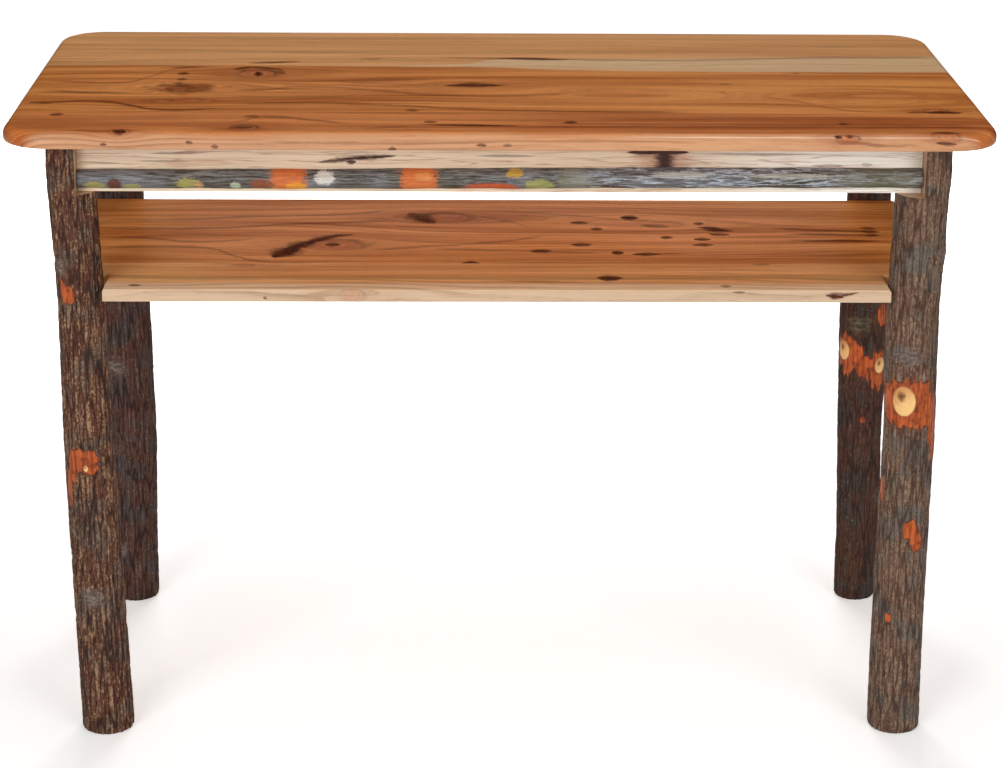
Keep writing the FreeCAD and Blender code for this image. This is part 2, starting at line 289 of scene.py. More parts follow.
GRAIN = group(
    "Sawn grain",
    {"Point": VECTOR, "Cross": FLOAT, "Ring width": FLOAT, "Seed": FLOAT},
    {"Late wood": FLOAT, "Bands": FLOAT, "Fibre": FLOAT, "Pores": FLOAT},
    grain_formula,
)

# %% [markdown]
# Round a knot the grain parts like water round a post. The formula for that flow bends the cross
# direction, so every ring and fibre that is drawn from it afterwards bends too. The knot itself is
# a small disc with its own rings and a dark rim, darker on its upper side.

# %% Knot group
def knot_formula(point, cross, centre, radius, stretch):
    """The bent cross direction, and masks for the knot's core, halo, rings and rim."""
    x, y, z = split(vector("SUBTRACT", point, centre))
    rough = noise(point, 3.0, scale=0.07) - 0.5
    far = x / (stretch * 1.9)
    spread = far * far + y * y
    bent = cross - y * (radius * radius * 1.5) / (spread + radius * radius * 0.5)
    near = x / stretch
    reach = calc("SQRT", near * near + y * y) / radius + rough * 0.55
    core = 1.0 - step(reach, 0.55, 0.95)
    halo = 1.0 - step(calc("SQRT", spread) / radius + rough * 0.8, 0.7, 2.3)
    rings = calc("SINE", reach * 15.0 + rough * 4.0) * 0.5 + 0.5
    rim = step(reach, 0.62, 0.85) * (1.0 - step(reach, 0.85, 1.2))
    rim = rim * (0.35 + step(y + x * 0.25, radius * -0.5, radius * 0.8) * 0.65)
    return bent, core, halo, rings, rim


KNOT = group(
    "Grain round a knot",
    {"Point": VECTOR, "Cross": FLOAT, "Centre": VECTOR, "Radius": FLOAT, "Stretch": FLOAT},
    {"Cross": FLOAT, "Core": FLOAT, "Halo": FLOAT, "Rings": FLOAT, "Rim": FLOAT},
    knot_formula,
)

# %% [markdown]
# Mineral streaks, bird pecks and old beetle marks are short dark strokes in the wood, thickest in
# the middle. One group draws one stroke between two places. The noise that frays its edge is made
# once for the whole board and handed in.

# %% Stroke group
def stroke_formula(point, start, end, width, fray):
    """A mask that is 1 on the line from start to end and tapers to both."""
    flat = vector("MULTIPLY", point, (1.0, 1.0, 0.0))
    along = vector("SUBTRACT", end, start)
    out = vector("SUBTRACT", flat, start)
    share = calc("DIVIDE", vector("DOT_PRODUCT", out, along),
                 vector("DOT_PRODUCT", along, along) + 0.01, clamp=True)
    away = vector("DISTANCE", out, scaled(along, share))
    middle = share * 2.0 - 1.0
    narrow = 1.05 - middle * middle
    return (1.0 - step(away / (width * narrow) + fray, 0.2, 1.1),)


STROKE = group(
    "Dark stroke",
    {"Point": VECTOR, "Start": VECTOR, "End": VECTOR, "Width": FLOAT, "Fray": FLOAT},
    {"Mask": FLOAT},
    stroke_formula,
)

# %% [markdown]
# A board carries a dozen or more strokes, and a few dark growth lines, which are smooth curves
# through given places, as wide all along. At each point the strongest of them is what shows, so
# the masks are joined by their largest value.

# %% Strokes and growth lines
LINE_FADE = 40.0


def strongest(masks):
    """The largest of several masks at each point, taken in one by one as they are made."""
    result = next(masks)
    for mask in masks:
        result = calc("MAXIMUM", result, mask)
    return result


def strokes(tree, point, marks, ragged=2.2):
    """Tapered strokes, each (x, y, x, y, width, strength)."""
    x, y, z = split(point)
    fray = (noise(joined(x * 0.11, y * 0.5, 0.0), 4.0, 0.62) - 0.5) * ragged
    return strongest(use(STROKE, tree, point, (x0, y0, 0), (x1, y1, 0), width, fray) * strength
                     for x0, y0, x1, y1, width, strength in marks)


def growth_lines(point, lines):
    """Dark growth lines, each (width, strength, place, place, ...) from left to right."""
    x, y, z = split(point)
    fray = (noise(joined(x * 0.02, y * 0.15, 3.0), 3.0) - 0.5) * 2.2
    return strongest(line_mask(x, y, fray, *line) for line in lines)


def line_mask(x, y, fray, width, strength, *places):
    """A line through some places, fading at both ends."""
    start, end = places[0][0], places[-1][0]
    heights = [place[1] for place in places]
    path = curve(x, places, (start, end), (min(heights) - 1.0, max(heights) + 1.0))
    away = calc("ABSOLUTE", y - path) / width
    inside = step(calc("MINIMUM", x - start, end - x), 0.0, LINE_FADE)
    return (1.0 - step(away + fray, 0.2, 1.1)) * inside * strength


print("a growth line fades over its last", LINE_FADE, "mm")

# %% [markdown]
# The end of a board shows its rings as arcs, darker than the face because open pores drink the
# finish. The arcs are circles round the heart of the tree, which lies off the board.

# %% End grain group
def end_grain_formula(point, heart):
    """How dark the end of a board is at each point."""
    x, y, z = split(point)
    off = vector("SUBTRACT", joined(0.0, y, z), heart)
    rough = noise(point, scale=0.03)
    arcs = calc("SINE", (vector("LENGTH", off) + rough * 14.0) * 2.2) * 0.5 + 0.5
    specks = noise(vector("MULTIPLY", point, (0.3, 1.6, 1.6)))
    return (arcs * 0.6 + step(specks, 0.45, 0.7) * 0.4,)


END_GRAIN = group("End grain", {"Point": VECTOR, "Heart": VECTOR}, {"Dark": FLOAT},
                  end_grain_formula)

# %% [markdown]
# ## Materials
# A pattern that reads Object coordinates stays on its piece, and here an object's own coordinates
# are the room's, because every piece keeps its place in its mesh. So a knot can be put down where
# it is on the real board, in millimetres. Some boards lie across the table. For them x and y change
# places, and the same formulas draw grain that runs from front to back.

# %% Finish
class Finish:
    """A new material: its tree and shader, and the point in millimetres and the normal that its
    patterns read. A board that lies across the table has both turned."""

    def __init__(self, name, crosswise=False):
        self.material = bpy.data.materials.new(name)
        self.material.use_nodes = True
        self.tree = self.material.node_tree
        self.shader = self.tree.nodes["Principled BSDF"]
        own = add(self.tree, "ShaderNodeTexCoord")
        self.point = scaled(Wire(self.tree, own.outputs["Object"]), 1 / MM)
        self.normal = Wire(self.tree, own.outputs["Normal"])
        if crosswise:
            self.point, self.normal = (joined(y, x, z)
                                       for x, y, z in map(split, (self.point, self.normal)))

    def set(self, values):
        """Feeds the shader's sockets, each by its name."""
        for label, value in values.items():
            feed(self.tree, self.shader.inputs[label], value)

    def bump(self, height, strength, distance):
        """A bump that feeds the shader's normal."""
        values = {"Strength": strength, "Distance": distance, "Height": height}
        self.set({"Normal": wired(self.tree, "ShaderNodeBump", values)})

    def ends(self):
        """1 where the surface faces along the board, which is where its end grain shows."""
        return step(calc("ABSOLUTE", split(self.normal)[0]), 0.6, 0.9)


print("patterns read millimetres,", round(1 / MM), "to the metre")

# %% [markdown]
# ## Sawn hickory
# One function mixes a board's colour. Each board has its own tones, knots and strokes, because
# boards from different trees lie side by side in one top. The marks are laid out flat: the narrow
# front edge of a board is folded up to the height of its face, so that a stroke which runs over the
# arris is one stroke, and marks on the edge are given as places a little in front of the board.
# The lacquer is satin: the shader's own roughness with a little change from the grain, and a bump
# too low to see but enough to break a highlight.

# %% Tones of knots and marks
LATE_SHADE = (0.44, 0.30, 0.18)
KNOT_HALO, KNOT_LIGHT, KNOT_DARK = colour(150, 68, 20), colour(208, 122, 70), colour(132, 54, 20)
KNOT_RIM, LINE_BROWN = colour(78, 24, 4), colour(104, 36, 3)
MARK_DARK, MARK_BROWN = colour(58, 15, 2), colour(116, 46, 10)


def with_knots(tone, masks):
    """Lays knots over a tone, each from its masks and its darkness."""
    for core, halo, rings, rim, darkness in masks:
        tone = mix(halo * (0.45 * darkness), tone, KNOT_HALO)
        tone = mix(core * (0.85 * darkness), tone, mix(rings * 0.6, KNOT_LIGHT, KNOT_DARK))
        tone = mix(rim * (0.85 * darkness), tone, KNOT_RIM)
    return tone


print("late wood keeps", *LATE_SHADE, "of the red, green and blue beside it")


# %% Sawn hickory
def sawn_wood(name, light, dark, ring_width, seed, knots=(), marks=(), lines=(), layer=None,
              heart=(0, 0, 600), line_strength=0.35, calm=(900.0, 1000.0), face=0.0,
              crosswise=False):
    """A board: two tones, rings, knots (x, y, radius, stretch, darkness), strokes and dark lines.
    `layer` lays its own patterns on the tone. The rings fade between the two places of `calm`.
    `face` is the height of the board's upper face, to which its front edge is folded up."""
    finish = Finish(name, crosswise)
    tree, point = finish.tree, finish.point
    x, y, z = split(point)
    cross = y + z * 0.8
    folded = joined(x, y + z - face, 0.0)
    masks = []
    for knot_x, knot_y, radius, stretch, darkness in knots:
        cross, *knot = use(KNOT, tree, folded, cross, (knot_x, knot_y, 0), radius, stretch)
        masks.append((*knot, darkness))
    late, bands, fibre, pores = use(GRAIN, tree, point, cross, ring_width, seed)
    late = late * (1.0 - step(x, *calm) * 0.75)
    tone = mix(step(bands, 0.36, 0.64), light, dark)
    if layer:
        tone = layer(point, tone)
    tone = mix(late * (line_strength * 1.35), tone, vector("MULTIPLY", tone, LATE_SHADE))
    tone = scaled(tone, 0.84 + fibre * 0.32)
    tone = scaled(tone, 1.0 - pores * 0.3)
    tone = with_knots(tone, masks)
    if lines:
        tone = mix(growth_lines(folded, lines), tone, LINE_BROWN)
    if marks:
        crumb = noise(joined(x * 0.13, y * 0.5, z * 0.5), 3.0, 0.6)
        dark_wood = mix(step(crumb, 0.46, 0.64), MARK_DARK, MARK_BROWN)
        tone = mix(strokes(tree, folded, marks), tone, dark_wood)
    end_tone = mix(use(END_GRAIN, tree, point, heart), scaled(tone, 0.86), scaled(tone, 0.56))
    finish.set({"Base Color": mix(finish.ends(), tone, end_tone),
                "Roughness": 0.34 + pores * 0.2 + late * 0.06, "Specular IOR Level": 0.24})
    finish.bump(late * -0.4 - pores + fibre * 0.3, 0.25, 0.0003)
    print(name, "has", len(knots), "knots,", len(marks), "strokes and", len(lines), "lines")
    return finish.material

# %% [markdown]
# ## The top's three boards
# The back board is a greyer brown. Between it and the middle board lies a strip of pale sapwood
# that widens to the right, across the seam. A strip has a near and a far border, and each is drawn
# as a curve; what lies between the two is pale.

# %% Sapwood strip
TOP_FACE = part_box("top_board_middle")[1].z / MM
STRIP_SPAN, STRIP_REACH = (-560, 560), (30, 140)
FAR_BORDER = ((-560, 69.5), (-150, 71), (-45, 80), (0, 106), (125, 114), (280, 121), (544, 135))
NEAR_BORDER = ((-560, 66), (-100, 66), (0, 62), (62, 52), (190, 44), (344, 41), (560, 42))


def sapwood_strip(point, tone):
    """A pale strip on both sides of the rear seam."""
    x, y, z = split(point)
    wobble = (noise(joined(x * 0.01, y * 0.05, 5.0)) - 0.5) * 5.0
    far, near = (curve(x, border, STRIP_SPAN, STRIP_REACH) for border in (FAR_BORDER, NEAR_BORDER))
    across = y + wobble
    inside = step(across, near - 1.5, near + 1.5) * (1.0 - step(across, far - 3.0, far + 3.0))
    cloud = noise(joined(x * 0.004, y * 0.08, 2.0))
    pale = mix(cloud, colour(230, 194, 150), colour(206, 164, 120))
    return mix(inside * 0.9, tone, pale)


print("the top's face is at", round(TOP_FACE, 1), "mm")

# %% [markdown]
# The middle board carries nearly all of the figure: a red knot, a cluster of pecks, a grain line in
# the form of a V, an eye and a large soft figure. The pecks are many and small, so they are not
# drawn one by one: they are the middles of random cells, long along the grain, inside an oval.

# %% Pecks
PECKS_AT, PECKS_LONG, PECKS_WIDE = (-369, -56, 0), 46, 38


def sapwood_and_pecks(point, tone):
    """The middle board's share of the strip, and a cluster of short bird pecks."""
    tone = sapwood_strip(point, tone)
    x, y, z = split(vector("SUBTRACT", point, PECKS_AT))
    spread = calc("SQRT", x * x * (1 / PECKS_LONG ** 2) + y * y * (1 / PECKS_WIDE ** 2))
    rough = noise(point, 3.0, scale=0.05) - 0.5
    dashes = 1.0 - step(cells(joined(x * 0.07, y * 0.23, 1.0)), 0.20, 0.42)
    halo = (1.0 - step(spread + rough, 0.45, 1.0)) * 0.75
    inside = 1.0 - step(spread + rough * 0.6 + x * 0.01, 0.5, 0.95)
    return mix(dashes * inside, mix(halo, tone, colour(130, 58, 20)), colour(60, 16, 2))


print("the pecks lie in an oval", 2 * PECKS_LONG, "by", 2 * PECKS_WIDE, "mm")

# %% [markdown]
# The rest is listed by place. A knot is given by its middle, its radius, how far it is stretched
# along the board and how dark it is, a stroke by its two ends, width and strength, and a line by
# its width, strength and the places that it passes.

# %% Figure of the middle board
MIDDLE_KNOTS = (
    (-291, 22, 24, 1.15, 1.0), (-369, -56, 26, 1.5, 0.0), (-391, -124, 9, 1.5, 0.9),
    (-357, -118, 9, 1.4, 0.8), (-32, -31, 12, 2.0, 0.35), (147, -74, 26, 2.0, 0.08),
    (447, -102, 34, 1.8, 0.12), (500, -160, 9, 1.8, 0.7),
)
MIDDLE_MARKS = (
    (-555, -78, -430, -82, 7, 0.6), (-545, -130, -515, -136, 9, 0.6), (-322, 44, -300, 62, 8, 0.9),
    (-305, 62, -262, 46, 8, 0.9), (-268, 50, -258, 20, 7, 0.6), (-291, 34, -289, 8, 8, 1.0),
    (-388, 22, -372, 22, 10, 0.9), (-386, -9, -372, -9, 9, 0.8), (-405, 57, -350, 60, 6, 0.6),
    (-110, -166, -92, -166, 9, 0.7), (-66, -38, 6, -36, 13, 0.95), (-50, -33, -12, -33, 15, 0.8),
    (262, -27, 280, -27, 6, 0.5), (410, -191, 428, -191, 8, 0.7), (486, -170, 530, -170, 11, 0.95),
    (465, -172, 492, -166, 8, 0.6), (359, 34, 368, 34, 6, 0.5),
)
MIDDLE_LINES = (
    (5, 0.6, (-543, -13), (-499, -26), (-447, -26), (-418, 7), (-380, 54), (-350, 56)),
    (5, 0.45, (-545, -64), (-487, -79), (-436, -84)),
    (6, 0.85, (-551, -136), (-513, -130), (-474, -125), (-428, -143), (-379, -167), (-343, -163),
     (-310, -150)),
    (6, 0.6, (-310, -150), (-241, -132), (-161, -136), (6, -165), (218, -172)),
    (8, 0.45, (-326, -53), (-284, -66), (-237, -46), (-165, -60), (-122, -73), (-44, -92),
     (28, -88), (98, -53)),
    (6, 0.4, (-333, -98), (-222, -101), (-164, -88)), (6, 0.35, (-202, -20), (-80, -38)),
    (5, 0.4, (298, -92), (332, -105), (400, -160), (492, -178), (545, -173)),
    (5, 0.35, (343, -60), (440, -52), (500, -95)),
)
print("the middle board has", len(MIDDLE_MARKS), "strokes")

# %% [markdown]
# The front board is straight in the grain, with small knots near its edge. Along its arris lies a
# soft pale band, partly paler wood and partly painted light where the rounded edge catches the
# lamps, and at the right a thin bright line, which is a painted highlight.

# %% Front board
ARRIS, EDGE_BAND = 279.6 - TOP_FACE, 11.0


def pale_edge_and_painted_highlight(point, tone):
    """The front arris: a pale band, partly paler wood and partly painted light, and a painted
    highlight line.
    """
    x, y, z = split(point)
    wobble = (noise(joined(x * 0.012, y * 0.05, z * 0.05)) - 0.5) * 10.0
    # The pale band is partly paler wood and partly painted light on the rounded edge.
    band = 1.0 - step(y + wobble, -279.0, -279.0 + EDGE_BAND)
    tone = mix(band * 0.7, tone, colour(208, 164, 126))
    # A thin bright line along the arris at the right: a painted highlight.
    painted_highlight_line = (1.0 - step(calc("ABSOLUTE", y + z + ARRIS), 0.5, 1.5)) * step(x, 100.0, 240.0)
    painted_highlight_line = painted_highlight_line * step(z, TOP_FACE - 10.0, TOP_FACE - 8.0)
    return mix(painted_highlight_line * 0.6, tone, colour(252, 222, 196))


print("the arris is sanded over the last", round(EDGE_BAND), "mm")

# %% [markdown]
# Most of the front board's marks are small. Those in front of the board's own border lie on its
# edge, which is folded up.

# %% Figure of the front board
FRONT_KNOTS = (
    (-287, -251, 14, 1.3, 1.0), (-423, -270, 11, 1.2, 0.7), (382, -281, 8, 1.8, 0.7),
    (493, -277, 13, 1.3, 0.6),
)
FRONT_MARKS = (
    (-512, -191, -494, -191, 10, 0.8), (-431, -268, -415, -271, 11, 1.0),
    (-292, -198, -272, -198, 8, 0.7), (-88, -222, -72, -222, 8, 0.8), (70, -222, 86, -222, 9, 0.9),
    (378, -227, 392, -227, 8, 0.8), (-92, -235, 24, -240, 6, 1.0),
    (-302, -252, -276, -249, 10, 0.9), (-444, -292, -436, -292, 3, 0.8),
    (-350, -289, -341, -290, 3, 0.8),
    (-322, -294, -313, -294, 3, 0.7), (-126, -296, -117, -296, 3, 0.8),
    (-29, -292, -17, -292, 3, 0.8), (0, -292, 12, -292, 2.5, 0.6), (476, -266, 508, -268, 6, 0.8),
    (480, -287, 504, -289, 4, 0.8), (368, -277, 377, -279, 5, 1.0), (380, -277, 390, -278, 4, 0.9),
)
FRONT_LINES = (
    (6, 0.5, (-498, -263), (-412, -273)),
    (6, 0.6, (-315, -240), (-289, -218), (-266, -200), (-218, -213), (-159, -240)),
    (5, 0.5, (-165, -257), (-86, -236)), (5, 0.5, (38, -228), (216, -229), (540, -228)),
    (5, 0.5, (18, -242), (177, -243), (545, -241)), (4, 0.4, (180, -193), (380, -196), (560, -196)),
    (4, 0.4, (-270, -262), (-200, -262), (-60, -258)),
    (3, 0.5, (350, -290), (392, -287), (420, -291), (470, -288)),
    (2.5, 0.35, (-270, -287), (-120, -290), (60, -286), (230, -290)),
)
front_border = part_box("top_board_front")[0].y / MM
print(sum(mark[1] < front_border for mark in FRONT_MARKS), "marks lie on the folded front edge")

# %% [markdown]
# The rear board has few marks. With that all three boards can be mixed, each from its own two
# tones, the width of its rings and the place of the tree's heart below it.

# %% Top materials
REAR_MARKS = (
    (-308, 82, -240, 92, 7, 0.85), (-172, 108, -140, 110, 7, 0.4), (0, 116, 90, 108, 10, 0.9),
)
REAR_LINES = (
    (6, 0.5, (-80, 118), (60, 112), (180, 106), (290, 112), (400, 124), (560, 128)),
    (5, 0.2, (-480, 160), (-300, 152), (-150, 150)), (5, 0.2, (60, 190), (240, 186), (470, 190)),
)
top_woods = {
    "top_board_rear": sawn_wood(
        "Hickory, rear board", colour(228, 164, 104), colour(198, 136, 80), 13.0, 4.0,
        (), REAR_MARKS, REAR_LINES, sapwood_strip, heart=(0, 175, 600), line_strength=0.22,
        face=TOP_FACE),
    "top_board_middle": sawn_wood(
        "Hickory, middle board", colour(227, 147, 76), colour(178, 96, 34), 13.0, 9.0,
        MIDDLE_KNOTS, MIDDLE_MARKS, MIDDLE_LINES, sapwood_and_pecks, heart=(0, -50, 650),
        line_strength=0.5, calm=(-180.0, 60.0), face=TOP_FACE),
    "top_board_front": sawn_wood(
        "Hickory, front board", colour(224, 140, 76), colour(176, 92, 40), 8.0, 15.0,
        FRONT_KNOTS, FRONT_MARKS, FRONT_LINES, pale_edge_and_painted_highlight, heart=(0, -260, 620),
        line_strength=0.42, face=TOP_FACE),
}

# %% [markdown]
# ## From points to pieces
# Three small steps end every piece. Its mesh becomes an object that shades smooth apart from its
# sharp edges, it gets its materials, and the CAD nodes that it stands for are hidden while it is
# attached to the body that it rides on.

# %% Piece helpers
SHARP = 30


def cad_points(node):
    """The points of a CAD node, in metres."""
    return np.array([vert.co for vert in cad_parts[node].data.vertices])


def shown(name, data):
    """A new object for some data, in the scene."""
    made = bpy.data.objects.new(name, data)
    bpy.context.scene.collection.objects.link(made)
    return made


def finished(mesh, name):
    """Turns a bmesh into an object that shades smooth apart from its sharp edges."""
    data = bpy.data.meshes.new(name)
    mesh.to_mesh(data)
    mesh.free()
    data.shade_smooth()
    data.set_sharp_from_angle(angle=radians(SHARP))
    return shown(name, data)


def coat(piece, *finishes):
    """Gives a piece its materials, in order, in place of any that it has."""
    piece.data.materials.clear()
    for finish in finishes:
        piece.data.materials.append(finish)


def dress(piece, slot_name, *nodes):
    """Hides the CAD nodes that a piece stands for and attaches it to the body that it rides on. The
    slot name is not used.
    """
    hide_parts(*nodes)
    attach(piece, "root")


print("edges sharper than", SHARP, "degrees stay sharp")

# %% [markdown]
# ## The top's shape
# The edge is rounded over above and eased below, and the corners are large quarter circles. A bevel
# would crowd its faces at the corners, so the whole panel is built from rings: each ring is the
# outline moved inwards by what the edge's curve asks at its height. The panel is then sliced at the
# seams that the CAD boards give, and each slice is one board.

# %% Ring-built shapes
CORNER_STEPS = 24


def rounded_outline(half_x, half_y, corner, inset):
    """Points round a rectangle with rounded corners, moved inwards."""
    points = []
    reach = corner - inset
    for quarter, (side_x, side_y) in enumerate(((1, 1), (-1, 1), (-1, -1), (1, -1))):
        for index in range(CORNER_STEPS + 1):
            angle = (quarter + index / CORNER_STEPS) * pi / 2
            points.append((side_x * (half_x - corner) + reach * cos(angle),
                           side_y * (half_y - corner) + reach * sin(angle)))
    return points


def shell_of(rings, name):
    """A closed mesh from rings of points, bottom to top, with flat ends."""
    mesh = bmesh.new()
    rows = [[mesh.verts.new(point) for point in ring] for ring in rings]
    count = len(rows[0])
    for low, high in zip(rows, rows[1:]):
        for index in range(count):
            after = (index + 1) % count
            mesh.faces.new((low[index], low[after], high[after], high[index]))
    mesh.faces.new(rows[0][::-1])
    mesh.faces.new(rows[-1])
    return finished(mesh, name)


print("an outline has", len(rounded_outline(0.5, 0.2, 0.05, 0.0)), "points")

# %% [markdown]
# Slicing keeps the curves whole across a seam. Both halves of a cut are closed with a flat face, so
# that every board is a solid of its own, as it was before the glue.

# %% Slices of a panel
def slice_of(panel, name, y_low, y_high):
    """The part of a panel between two places across it, with its cut sides closed."""
    mesh = bmesh.new()
    mesh.from_mesh(panel.data)
    for y, keep in ((y_low, -1), (y_high, 1)):
        everything = mesh.verts[:] + mesh.edges[:] + mesh.faces[:]
        cut = bmesh.ops.bisect_plane(mesh, geom=everything, plane_co=(0, y, 0),
                                     plane_no=(0, keep, 0), clear_outer=True, dist=1e-6)
        if any(isinstance(part, bmesh.types.BMEdge) for part in cut["geom_cut"]):
            bmesh.ops.holes_fill(mesh, edges=[edge for edge in mesh.edges if edge.is_boundary])
    bmesh.ops.recalc_face_normals(mesh, faces=mesh.faces)
    return finished(mesh, name)


def boards_from(panel, woods, slot_name):
    """Slices a panel at the seams of its CAD boards, and dresses each board."""
    for name, wood in woods.items():
        low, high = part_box(name)
        board = slice_of(panel, f"lacquered_{name}", low.y, high.y)
        coat(board, wood)
        dress(board, slot_name, name)
        print(name, len(board.data.polygons), "faces,", round((high.y - low.y) / MM), "mm wide")
    bpy.data.objects.remove(panel)


# %% Build the top
def corner_radius(node):
    """How far the straight end of the top stops short of its corner."""
    points = cad_points(node)
    end = points[points[:, 0] > points[:, 0].max() - 1e-5]
    return points[:, 1].max() - end[:, 1].max()


EDGE_ROUND, UNDER_EASE, CORNER = 12.5 * MM, 3 * MM, corner_radius("top_board_rear")
print("corner radius", round(CORNER, 4))
top_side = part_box("top_board_rear")[1].y
(_, _, top_low), (top_half, _, top_high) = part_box("top_board_middle")
profile = [(UNDER_EASE, 0.0), (UNDER_EASE * 0.4, UNDER_EASE * 0.25), (0.0, UNDER_EASE)]
for index in range(13):
    angle = index / 12 * pi / 2
    profile.append((EDGE_ROUND * (1 - cos(angle)),
                    top_high - top_low - EDGE_ROUND * (1 - sin(angle))))
top_rings = [[(x, y, top_low + height)
              for x, y in rounded_outline(top_half, top_side, CORNER, inset)]
             for inset, height in profile]
boards_from(shell_of(top_rings, "whole_top"), top_woods, "hickory_top")

# %% [markdown]
# ## The lower shelf
# The same wood, with more of everything: a big knot with a dark crescent at the left, a second one
# behind it, rows of pecks at the right and pale sapwood along the front edge.

# %% Shelf edge
SHELF_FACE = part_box("shelf_board_rear")[1].z / MM


def shelf_edge(point, tone):
    """Pale sapwood along the front, with a dark band behind it. The sapwood is painted paler on the
    upper face than on the front edge, as painted light.
    """
    x, y, z = split(point)
    across = y + (noise(joined(x * 0.006, y * 0.02, 8.0)) - 0.5) * 22.0
    band = step(across, -192.0, -184.0) * (1.0 - step(across, -180.0, -168.0))
    tone = mix(band * 0.35, tone, colour(110, 62, 36))
    # Paler on the upper face than on the front edge: painted light for the shade under the top.
    pale = mix(step(y, -228.7, -227.6), colour(208, 178, 148), colour(250, 216, 176))
    return mix(1.0 - step(across, -214.0, -192.0), tone, pale)


print("the shelf's face is at", round(SHELF_FACE, 1), "mm")

# %% [markdown]
# The crescent is made of strokes that follow each other round the knot. The pecks at the right are
# laid one by one, because here they lie in rows.

# %% Figure of the shelf
SHELF_KNOTS = (
    (-196, -46, 26, 1.5, 0.7), (-63, 78, 24, 1.5, 0.8), (209, 48, 14, 1.8, 0.3),
    (156, 70, 18, 1.8, 0.0),
)
SHELF_MARKS = (
    (-268, -100, -240, -52, 24, 1.0), (-256, -66, -220, -26, 18, 1.0),
    (-236, -38, -190, 2, 13, 0.95), (-208, -12, -176, 2, 9, 0.7), (-210, -46, -190, -42, 11, 0.9),
    (-110, 98, -84, 66, 24, 0.8), (-104, 80, -76, 52, 16, 0.9),
    (92, 56, 116, 54, 9, 0.9), (116, 27, 132, 27, 9, 0.9), (156, 80, 180, 78, 14, 1.0),
    (88, -42, 116, -43, 10, 0.9), (38, -71, 66, -70, 10, 1.0),
    (136, -77, 152, -77, 11, 1.0), (160, -83, 196, -82, 9, 0.95), (-44, -122, -22, -122, 12, 1.0),
    (180, 44, 216, 38, 10, 0.6), (200, -10, 216, -10, 9, 0.9),
    (246, 52, 260, 52, 9, 0.9), (250, 36, 280, 30, 8, 1.0), (256, 24, 294, 20, 9, 1.0),
    (260, 6, 288, 2, 8, 0.9), (240, -18, 262, -18, 9, 0.9), (236, -42, 264, -42, 8, 0.9),
    (452, 34, 472, 32, 8, 0.8), (450, 18, 474, 16, 9, 0.9), (452, 2, 472, 2, 8, 0.8),
)
SHELF_LINES = (
    (6, 0.5, (-500, 68), (-388, 68), (-316, 80), (-196, 92), (-120, 130)),
    (6, 0.55, (-495, 23), (-435, 23), (-340, 29), (-262, 46), (-120, 61)),
    (6, 0.5, (-490, -16), (-435, -16), (-367, -32), (-318, -27), (-285, -8)),
    (6, 0.5, (-483, -62), (-433, -53), (-355, -59), (-313, -95), (-265, -121), (-210, -123)),
    (18, 0.28, (-478, -166), (-325, -156), (-240, -160)),
    (6, 0.45, (-166, -70), (-95, -53), (-24, -38), (53, -5), (71, 18)),
    (6, 0.45, (-52, 109), (-13, 80), (25, 52), (50, 23)),
    (5, 0.4, (-13, 115), (83, 92), (195, 63), (245, 58)),
    (6, 0.8, (332, 46), (356, 30), (425, 21), (480, 18)), (6, 0.8, (350, 6), (487, 1)),
    (7, 0.9, (346, -22), (487, -25)), (5, 0.7, (165, -83), (240, -77)),
    (5, 0.6, (228, -40), (195, -64)), (5, 0.5, (-88, -62), (-30, -65), (47, -71), (140, -78)),
)
SHELF_FRONT_KNOTS = ((-301, -134, 9, 1.6, 0.4), (-170, -236, 9, 1.9, 0.3))
SHELF_FRONT_MARKS = (
    (-428, -212, -412, -212, 6, 0.8), (112, -180, 144, -180, 13, 1.0),
    (116, -185, 140, -185, 11, 1.0), (254, -212, 268, -212, 6, 0.7),
    (267, -231, 282, -231, 2.5, 0.7),
    (374, -235, 396, -237, 4.5, 1.0), (388, -236, 412, -231, 2.5, 0.9),
    (378, -233, 398, -233, 3, 0.7), (-272, -238, -267, -240, 2, 0.8),
    (300, -124, 322, -124, 7, 0.5), (10, -196, 100, -198, 6, 0.3),
)
print("the rear shelf board has", len(SHELF_MARKS), "strokes and", len(SHELF_LINES), "lines")

# %% Shelf materials
# Both shelf boards have paler tones than the top's boards: painted light, making up for the shade
# that the top casts on the shelf.
shelf_woods = {
    "shelf_board_rear": sawn_wood(
        "Hickory, rear shelf board", colour(246, 174, 98), colour(204, 124, 54), 13.0, 21.0,
        SHELF_KNOTS, SHELF_MARKS, SHELF_LINES, heart=(0, 20, 360), line_strength=0.40,
        face=SHELF_FACE),
    "shelf_board_front": sawn_wood(
        "Hickory, front shelf board", colour(252, 194, 124), colour(224, 152, 86), 11.0, 27.0,
        SHELF_FRONT_KNOTS, SHELF_FRONT_MARKS, layer=shelf_edge, heart=(0, -180, 380),
        line_strength=0.36, face=SHELF_FACE),
}

# %% [markdown]
# The shelf is notched square round the front poles, and each notch follows its own pole, so both
# are read from the CAD board. The outline is drawn flat, raised to its thickness and only its upper
# arrises are rounded, which a bevel does well here because the radius is small.

# %% Measure the notches
def notch_corner(node, side):
    """The inner corner of the notch at one side, read from the CAD board's own points."""
    points = cad_points(node)
    points = points[points[:, 2] < points[:, 2].min() + 1e-5] * (side, 1, 1)
    front = points[points[:, 1] < points[:, 1].min() + 1e-4]
    end = points[points[:, 0] > points[:, 0].max() - 1e-4]
    return side * front[:, 0].max(), end[:, 1].min()


right_x, notch_y = notch_corner("shelf_board_front", 1)
left_x, notch_y = notch_corner("shelf_board_front", -1)
print("shelf notches", round(left_x, 4), round(right_x, 4), round(notch_y, 4))


